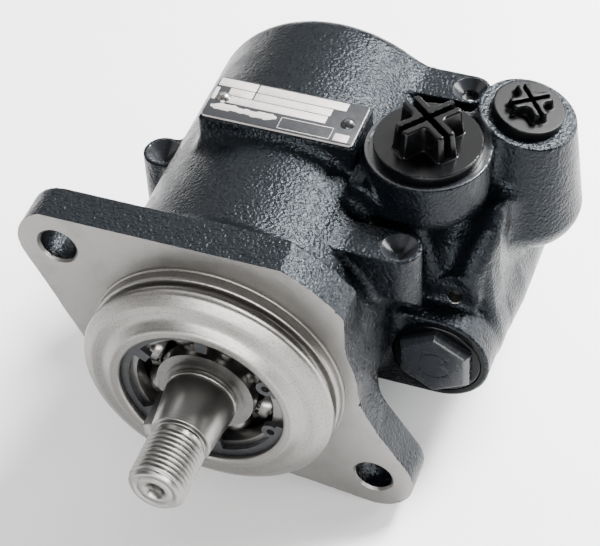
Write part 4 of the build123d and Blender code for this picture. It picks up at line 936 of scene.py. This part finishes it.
def make_casting():
    """The rough casting with its cuts, in a coarse block and fine ones round the small edges."""
    margin = 1.1
    low = CASTING_LOW - margin
    low[1] = -margin
    high = CASTING_HIGH + margin
    finish_casting(cast_piece("casting", coarse_casting, low, high, GRID, limit=FACE_LIMIT))
    for name, zone in FINE_ZONES.items():
        def block_field(x, y, z, inside=zone_field(zone)):
            return np.maximum(casting(x, y, z), inside(x, y, z))

        start = np.maximum(np.array(zone[0]) - FINE_GRID, low)
        end = np.minimum(np.array(zone[1]) + FINE_GRID, high)
        finish_casting(cast_piece("casting_" + name, block_field, start, end, FINE_GRID, thin=0.5))


def make_pilot():
    """The turned pilot with its sealing groove, sloping face and bearing rim."""
    bore = BEARING_R + 0.05
    clip_groove = bore + 1.3
    seal_groove = PILOT_R - 2.6
    front = [(bore, 3.7), (clip_groove, 3.7), (clip_groove, 1.9), (bore, 1.9), (bore, 0.4)]
    front += [(bore + 0.5, 0), (26.2, 0), (27.1, 0.8), (29.0, 2.3), (32.4, 2.7), (PILOT_R, 4.9)]
    side = [(PILOT_R, -7.2), (seal_groove, -7.2), (seal_groove, -4.0), (PILOT_R, -4.0)]
    side += [(PILOT_R, -1.0), (PILOT_R + 0.5, -1.0), (PILOT_R + 0.5, 0.5), (bore, 0.5)]
    profile = [(bore, 0.5)] + [(r, PILOT_FRONT + along) for r, along in front] + side
    piece = spin("pilot", ease(profile, 1.0, 5), turns=192)
    paint(piece, TURNED)
    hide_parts("housing")


# ---- drive shaft ----
THREAD_R = MOUNTS["shaft_thread"]["dims"]["r_mm"]
THREAD_LEN = 15.4
PITCH = 1.5
THREAD_DEPTH = 0.92
THREAD_CHAMFER = 1.3
THREAD_RUN_OUT = 0.5
THREAD_STEPS = 16  # rows of the mesh in one pitch


def thread_rows(start, length, turns):
    """Rows of a right-hand thread that runs in over a chamfer and out into the relief."""
    turn = np.arange(turns) / turns
    rows = []
    for along in np.arange(0, length + 0.01, PITCH / THREAD_STEPS):
        wave = 0.5 - 0.5 * np.cos(2 * pi * (along / PITCH - turn))
        cut = THREAD_DEPTH * wave**0.8
        ceiling = THREAD_R - np.maximum(THREAD_CHAMFER - along, 0)
        ceiling -= np.maximum(along - length + THREAD_RUN_OUT, 0)
        rows.append((np.minimum(THREAD_R - cut, ceiling), start + along))
    return rows


def make_shaft():
    """The threaded end with its centre hole, then the taper and the stepped shaft behind it."""
    start = SHAFT_LOW[1]
    thread_end = start + THREAD_LEN
    turns = 144
    nose = [(0, 5.4), (0.4, 5.4), (1.7, 4.2), (1.7, 2.2), (3.0, 0.15), (3.3, 0), (4.7, 0)]
    nose += [(4.85, 0.25), (5.15, 0.25), (5.3, 0), (6.4, 0)]
    nose = [(r, start + along) for r, along in nose]
    stem = [(6.9, thread_end - 0.3), (6.9, thread_end + 2.2), (8.5, thread_end + 2.35)]
    stem += [(10.0, -14.4), (10.0, -13.5), (9.7, -13.4), (9.7, -13.0), (10.0, -12.9), (10.0, -11.45)]
    stem += [(9.2, -11.45), (9.2, -10.2), (9.99, -10.2), (9.99, 3.8), (12.4, 3.8), (12.4, 5.4)]
    stem += [(9.9, 5.4), (9.9, 18.0), (9.4, 18.0), (9.4, 28.05), (8.3, 28.05), (8.3, 53.95)]
    stem += [(7.5, 53.95), (7.5, SHAFT_HIGH[1] - 0.8), (6.7, SHAFT_HIGH[1]), (0, SHAFT_HIGH[1])]
    rows = nose + thread_rows(start + 0.05, THREAD_LEN - 0.05, turns) + [(0, thread_end)]
    pieces = [spin("shaft_thread", rows, turns=turns, body="shaft", angle=60)]
    stem_rows = [(0, thread_end - 0.3)] + ease(stem, 0.35, 3)
    pieces.append(spin("shaft_stem", stem_rows, turns=turns, body="shaft", angle=40))
    for piece in pieces:
        paint(piece, SHAFT)
        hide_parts("drive_shaft")


# ---- flow valve's plug ----
HEX_FLATS = 20.2
HEX_CHAMFER = 1.2  # how far the chamfer cuts into the front face
HEX_SLOPE = 0.9
COLLAR_R = 12.75
COLLAR_T = 1.6
COLLAR_SUNK = 1.4  # its back lies this deep in the valve casing's mouth


def make_plug():
    """Hexagon head with its chamfer, the collar behind it and the threaded body."""
    front = PLUG_FRONT
    collar_back = VALVE_FRONT + COLLAR_SUNK
    collar_front = collar_back - COLLAR_T

    def head(x, y, z):
        across = x - VALVE[0]
        up = z - VALVE[2]
        flats = [across * cos(radians(60 * i)) + up * sin(radians(60 * i)) for i in range(3)]
        hexagon = np.maximum.reduce([np.abs(flat) for flat in flats]) - HEX_FLATS / 2
        r = np.hypot(across, up)
        chamfer = (hexagon + HEX_CHAMFER - HEX_SLOPE * (y - front)) / np.hypot(1, HEX_SLOPE)
        ends = between(y, front, collar_front + 0.5)
        hexagon = rounded_meet(rounded_meet(hexagon, chamfer, 0.2), ends, 0.2)
        ring = np.maximum(np.abs(r - 4.6) - 0.25, y - front - 0.3)
        collar = rod(x, z, y, VALVE_AT, COLLAR_R, collar_front, collar_back, 0.8)
        return np.minimum(np.maximum(hexagon, -ring), collar)

    reach = 13.2
    low = (VALVE[0] - reach, front - 0.5, VALVE[2] - reach)
    high = (VALVE[0] + reach, collar_back + 0.5, VALVE[2] + reach)
    piece = cast_piece("plug_head", head, low, high, 0.3)
    paint(piece, PLUG_PAINT)
    # painted shade: the collar behind the hexagon takes the near-black shade material
    piece.data.materials.append(MOUTH_SHADE_BLACK)
    for face in piece.data.polygons:
        face.material_index = int(face.center.y > (collar_front - 0.05) * MM)
    body = [(0, -0.2), (9.6, -0.2), (9.6, 1.4), (10.99, 1.4), (10.99, 12), (6.0, 12), (6.0, 16), (0, 16)]
    body = [(r, collar_back + along) for r, along in body]
    screw = spin("plug_body", ease(body, 0.4, 3), (VALVE[0], 0, VALVE[2]))
    paint(screw, OXIDE_AND_HOLE_SHADE)
    for part in (piece, screw):
        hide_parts("valve_plug")


def make_spring():
    """The flow valve's spring, a fixed copy of the CAD's coil on the pump body; the real one squeezes
    against the bore's end as the spool slides back.
    """
    piece = link_new("spring_coil", frame["nodes"]["valve_spring"].data.copy())
    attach(piece, ROOT)
    paint(piece, BRIGHT)
    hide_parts("valve_spring")
    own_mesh(piece)


# ---- transport caps ----
CAP_GAP = 0.02  # the discs lie this far off their seats
INLET_CAP = dict(
    disc_r=14.9, disc_t=3.2, shank_r=12.1, wall=1.8, shank_len=9.0,
    arm=9.8, arm_w=6.2, grip_h=8.17, slot_w=2.3, turn=radians(50),
)
OUTLET_CAP = dict(
    disc_r=10.0, disc_t=2.6, shank_r=7.1, wall=1.4, shank_len=8.0,
    arm=6.4, arm_w=4.4, grip_h=3.0, slot_w=1.3, turn=radians(42),
)


def cap_field(disc_r, disc_t, shank_r, wall, shank_len, arm, arm_w, grip_h, slot_w, turn):
    """A push-in cap in its own frame: a thick cross on its disc, parted into four grips by slots."""
    top = disc_t + grip_h

    def field(x, y, z):
        r = np.hypot(x, y)
        disc = rounded_meet(r - disc_r, between(z, 0, disc_t), 0.35)
        shank = rounded_meet(np.maximum(r - shank_r, shank_r - wall - r), between(z, -shank_len, 1), 0.4)
        p = x * cos(turn) + y * sin(turn)
        q = y * cos(turn) - x * sin(turn)
        lean = 0.05 * (z - disc_t)
        bars = [
            rounded_meet(np.abs(a) - arm + 2 * lean, np.abs(b) - arm_w / 2 + lean, 0.9)
            for a, b in ((p, q), (q, p))
        ]
        cross = rounded_meet(blend_in(bars[0], bars[1], 1.6), between(z, disc_t - 1, top), 0.6)
        body = blend_in(np.minimum(disc, shank), cross, 0.5)
        slots = np.minimum(np.abs(p), np.abs(q)) - slot_w / 2 + lean / 2
        cut = np.maximum(slots, disc_t + 0.6 - z)
        return rounded_meet(body, -np.maximum(cut, r - arm * 1.3), 0.25)

    return field


def make_cap(name, origin, axes, sizes, step, material):
    """Contours a cap in its own frame, then stands it on its port. It rides on the body of its name."""
    margin = 0.6
    reach = sizes["disc_r"] + margin
    low = (-reach, -reach, -sizes["shank_len"] - margin)
    high = (reach, reach, sizes["disc_t"] + sizes["grip_h"] + margin)
    piece = cast_piece(name + "_moulding", cap_field(**sizes), low, high, step, name)
    stand = Matrix(np.column_stack(axes).tolist()).to_4x4()
    stand.translation = Vector(np.array(origin) * MM)
    piece.data.transform(stand)
    paint(piece, material)
    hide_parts(name)


def make_caps():
    inlet_at = INLET - (0, 0, INLET_SPOT - CAP_GAP)
    make_cap("inlet_cap", inlet_at, np.eye(3), INLET_CAP, 0.3, PLASTIC)
    outlet_at = OUTLET + CAP_GAP * OUTLET_AXIS
    outlet_axes = (np.cross((0, 1, 0), OUTLET_AXIS), (0, 1, 0), OUTLET_AXIS)
    make_cap("outlet_cap", outlet_at, outlet_axes, OUTLET_CAP, 0.22, DULL_PLASTIC)


# ---- name plate ----
PRINT_T = 0.03
PLATE_CORNER = 1.0
PRINT_EDGE = 0.12  # the print ends this far inside the plate's edge
FIELDS = {
    # bare fields on the print, as shares of the plate: left, right, front, back
    "row_1_left": (0.010, 0.262, 0.775, 0.965),
    "row_1_right": (0.273, 0.868, 0.775, 0.965),
    "row_2_left": (0.100, 0.262, 0.585, 0.758),
    "row_2_right": (0.273, 0.785, 0.585, 0.758),
    "row_3": (0.095, 0.775, 0.395, 0.568),
    "end_mark": (0.006, 0.032, 0.42, 0.72),
    "corner_mark": (0.868, 0.962, 0.05, 0.225),
}
RUBBED_FIELD = (0.030, 0.470, 0.185, 0.350)  # print worn off in a ragged patch
FRAME_LINES = {
    # thin lines round an empty field
    "frame_front": (0.500, 0.845, 0.052, 0.064),
    "frame_back": (0.500, 0.845, 0.318, 0.330),
    "frame_left": (0.500, 0.503, 0.052, 0.330),
    "frame_right": (0.842, 0.845, 0.052, 0.330),
}


def slab_piece(name, outline, z0, z1, material):
    """A thin slab over an outline of (x, y) points, with softened upper edges."""
    shape = bmesh.new()
    corners = [shape.verts.new((x * MM, y * MM, z0 * MM)) for x, y in outline]
    base = shape.faces.new(corners)
    raised = bmesh.ops.extrude_face_region(shape, geom=[base])["geom"]
    for vert in (item for item in raised if isinstance(item, bmesh.types.BMVert)):
        vert.co.z = z1 * MM
    bmesh.ops.recalc_face_normals(shape, faces=shape.faces)
    rims = [e for e in shape.edges if all(abs(v.co.z - z1 * MM) < 1e-9 for v in e.verts)]
    bevel = min(0.15, (z1 - z0) * 0.4) * MM
    bmesh.ops.bevel(shape, geom=rims, offset=bevel, segments=2, affect="EDGES", profile=0.5)
    mesh = bpy.data.meshes.new(name)
    shape.to_mesh(mesh)
    shape.free()
    piece = link_new(name, mesh)
    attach(piece, ROOT)
    soften(piece)
    return paint(piece, material)


def rounded_outline(low, high, r, steps=5):
    """A rectangle's outline with round corners."""
    (x0, y0), (x1, y1) = low[:2], high[:2]
    points = []
    centres = ((x1 - r, y1 - r), (x0 + r, y1 - r), (x0 + r, y0 + r), (x1 - r, y0 + r))
    for quarter, (cx, cy) in enumerate(centres):
        for i in range(steps + 1):
            angle = radians(90 * quarter + 90 * i / steps)
            points.append((cx + r * cos(angle), cy + r * sin(angle)))
    return points


def on_plate(share_x, share_y):
    low, high = PLATE_LOW[:2], PLATE_HIGH[:2]
    return low + (share_x, share_y) * (high - low)


def ragged_outline(left, right, front, back, steps=26):
    """A worn patch's outline: long edges that wander and ends that fray."""
    along = np.linspace(0, 1, steps)
    wander = 0.10 * np.sin(9 * along + 1) + 0.07 * np.sin(31 * along) + 0.05 * np.sin(67 * along + 2)
    taper = np.minimum(1, 6 * np.minimum(along + 0.05, 1.06 - along))
    low = front + (back - front) * (0.5 - taper * (0.42 + wander))
    high = front + (back - front) * (0.5 + taper * (0.42 + wander[::-1]))
    x = left + (right - left) * along
    edge = list(zip(x, low)) + list(zip(x[::-1], high[::-1]))
    return [on_plate(*point) for point in edge]


def make_name_plate():
    """An aluminium plate with a black printed ground and empty bare fields."""
    print_z = PLATE_HIGH[2] - 2 * PRINT_T
    outline = rounded_outline(PLATE_LOW, PLATE_HIGH, PLATE_CORNER)
    pieces = [slab_piece("plate_blank", outline, PLATE_LOW[2], print_z, PLATE_METAL)]
    outline = rounded_outline(PLATE_LOW + PRINT_EDGE, PLATE_HIGH - PRINT_EDGE, 0.8)
    pieces.append(slab_piece("plate_print", outline, print_z, print_z + PRINT_T, PLATE_PRINT))
    for name, (left, right, front, back) in {**FIELDS, **FRAME_LINES}.items():
        low, high = on_plate(left, front), on_plate(right, back)
        corner = min(0.15, *((high - low) / 4))
        outline = rounded_outline(low, high, corner, 2)
        pieces.append(slab_piece("plate_" + name, outline, print_z, PLATE_HIGH[2], PLATE_METAL))
    outline = ragged_outline(*RUBBED_FIELD)
    pieces.append(slab_piece("plate_rubbed", outline, print_z, PLATE_HIGH[2], PLATE_METAL))
    for piece in pieces:
        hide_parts("name_plate")


# ---- stage ----
TARGET = Vector((25.3, 0.0, 44.06)) * MM
AZIMUTH, ELEVATION, ROLL = radians(22.11), radians(46.54), radians(-3.19)
DISTANCE = 528.09 * MM
LENS = 125.31
LIGHTS_AIM = Vector((15, 30, 10)) * MM
FLOOR_REACH = 3.0


def make_camera():
    back = Vector((sin(AZIMUTH) * cos(ELEVATION), -cos(AZIMUTH) * cos(ELEVATION), sin(ELEVATION)))
    right = Vector((cos(AZIMUTH), sin(AZIMUTH), 0))
    up = back.cross(right)
    x_axis = cos(ROLL) * right + sin(ROLL) * up
    y_axis = cos(ROLL) * up - sin(ROLL) * right
    data = bpy.data.cameras.new("camera")
    data.lens = LENS
    data.sensor_width = 36.0
    camera = link_new("camera", data)
    turn = Matrix((x_axis, y_axis, back)).transposed().to_4x4()
    camera.matrix_world = Matrix.Translation(TARGET + back * DISTANCE) @ turn
    bpy.context.scene.camera = camera


def softbox(name, place, power, size):
    """A large rectangular light that faces the middle of the pump."""
    data = bpy.data.lights.new(name, "AREA")
    data.energy = power
    data.shape = "RECTANGLE"
    data.size, data.size_y = size
    light = link_new(name, data)
    light.location = Vector(place) * MM
    light.rotation_euler = (light.location - LIGHTS_AIM).to_track_quat("Z", "Y").to_euler()


def make_stage():
    floor_z = cad_bounds[0][2]
    mesh = bpy.data.meshes.new("floor")
    corners = [(-1, -1), (1, -1), (1, 1), (-1, 1)]
    points = [(x * FLOOR_REACH, y * FLOOR_REACH, floor_z) for x, y in corners]
    mesh.from_pydata(points, [], [(0, 1, 2, 3)])
    floor = link_new("floor", mesh)
    paint(floor, studio_floor())
    world = bpy.data.worlds.new("studio")
    world.use_nodes = True
    background = world.node_tree.nodes["Background"]
    background.inputs["Color"].default_value = (1, 1, 1, 1)
    background.inputs["Strength"].default_value = 0.08
    bpy.context.scene.world = world
    softbox("key", (265, 440, 490), 26, (0.25, 0.2))
    softbox("back_right", (560, 430, 180), 6.5, (0.3, 0.3))
    softbox("back_left", (-350, 610, 580), 5.5, (0.9, 0.6))
    softbox("front", (110, -715, 275), 12, (0.7, 0.16))
    softbox("ceiling", (0, 0, 1000), 2.0, (1.2, 1.2))
    softbox("left", (-560, -110, 330), 1.0, (0.5, 0.5))


make_camera()
finish_cad_nodes()
make_casting()
make_pilot()
make_shaft()
make_plug()
make_spring()
make_caps()
make_name_plate()
make_stage()
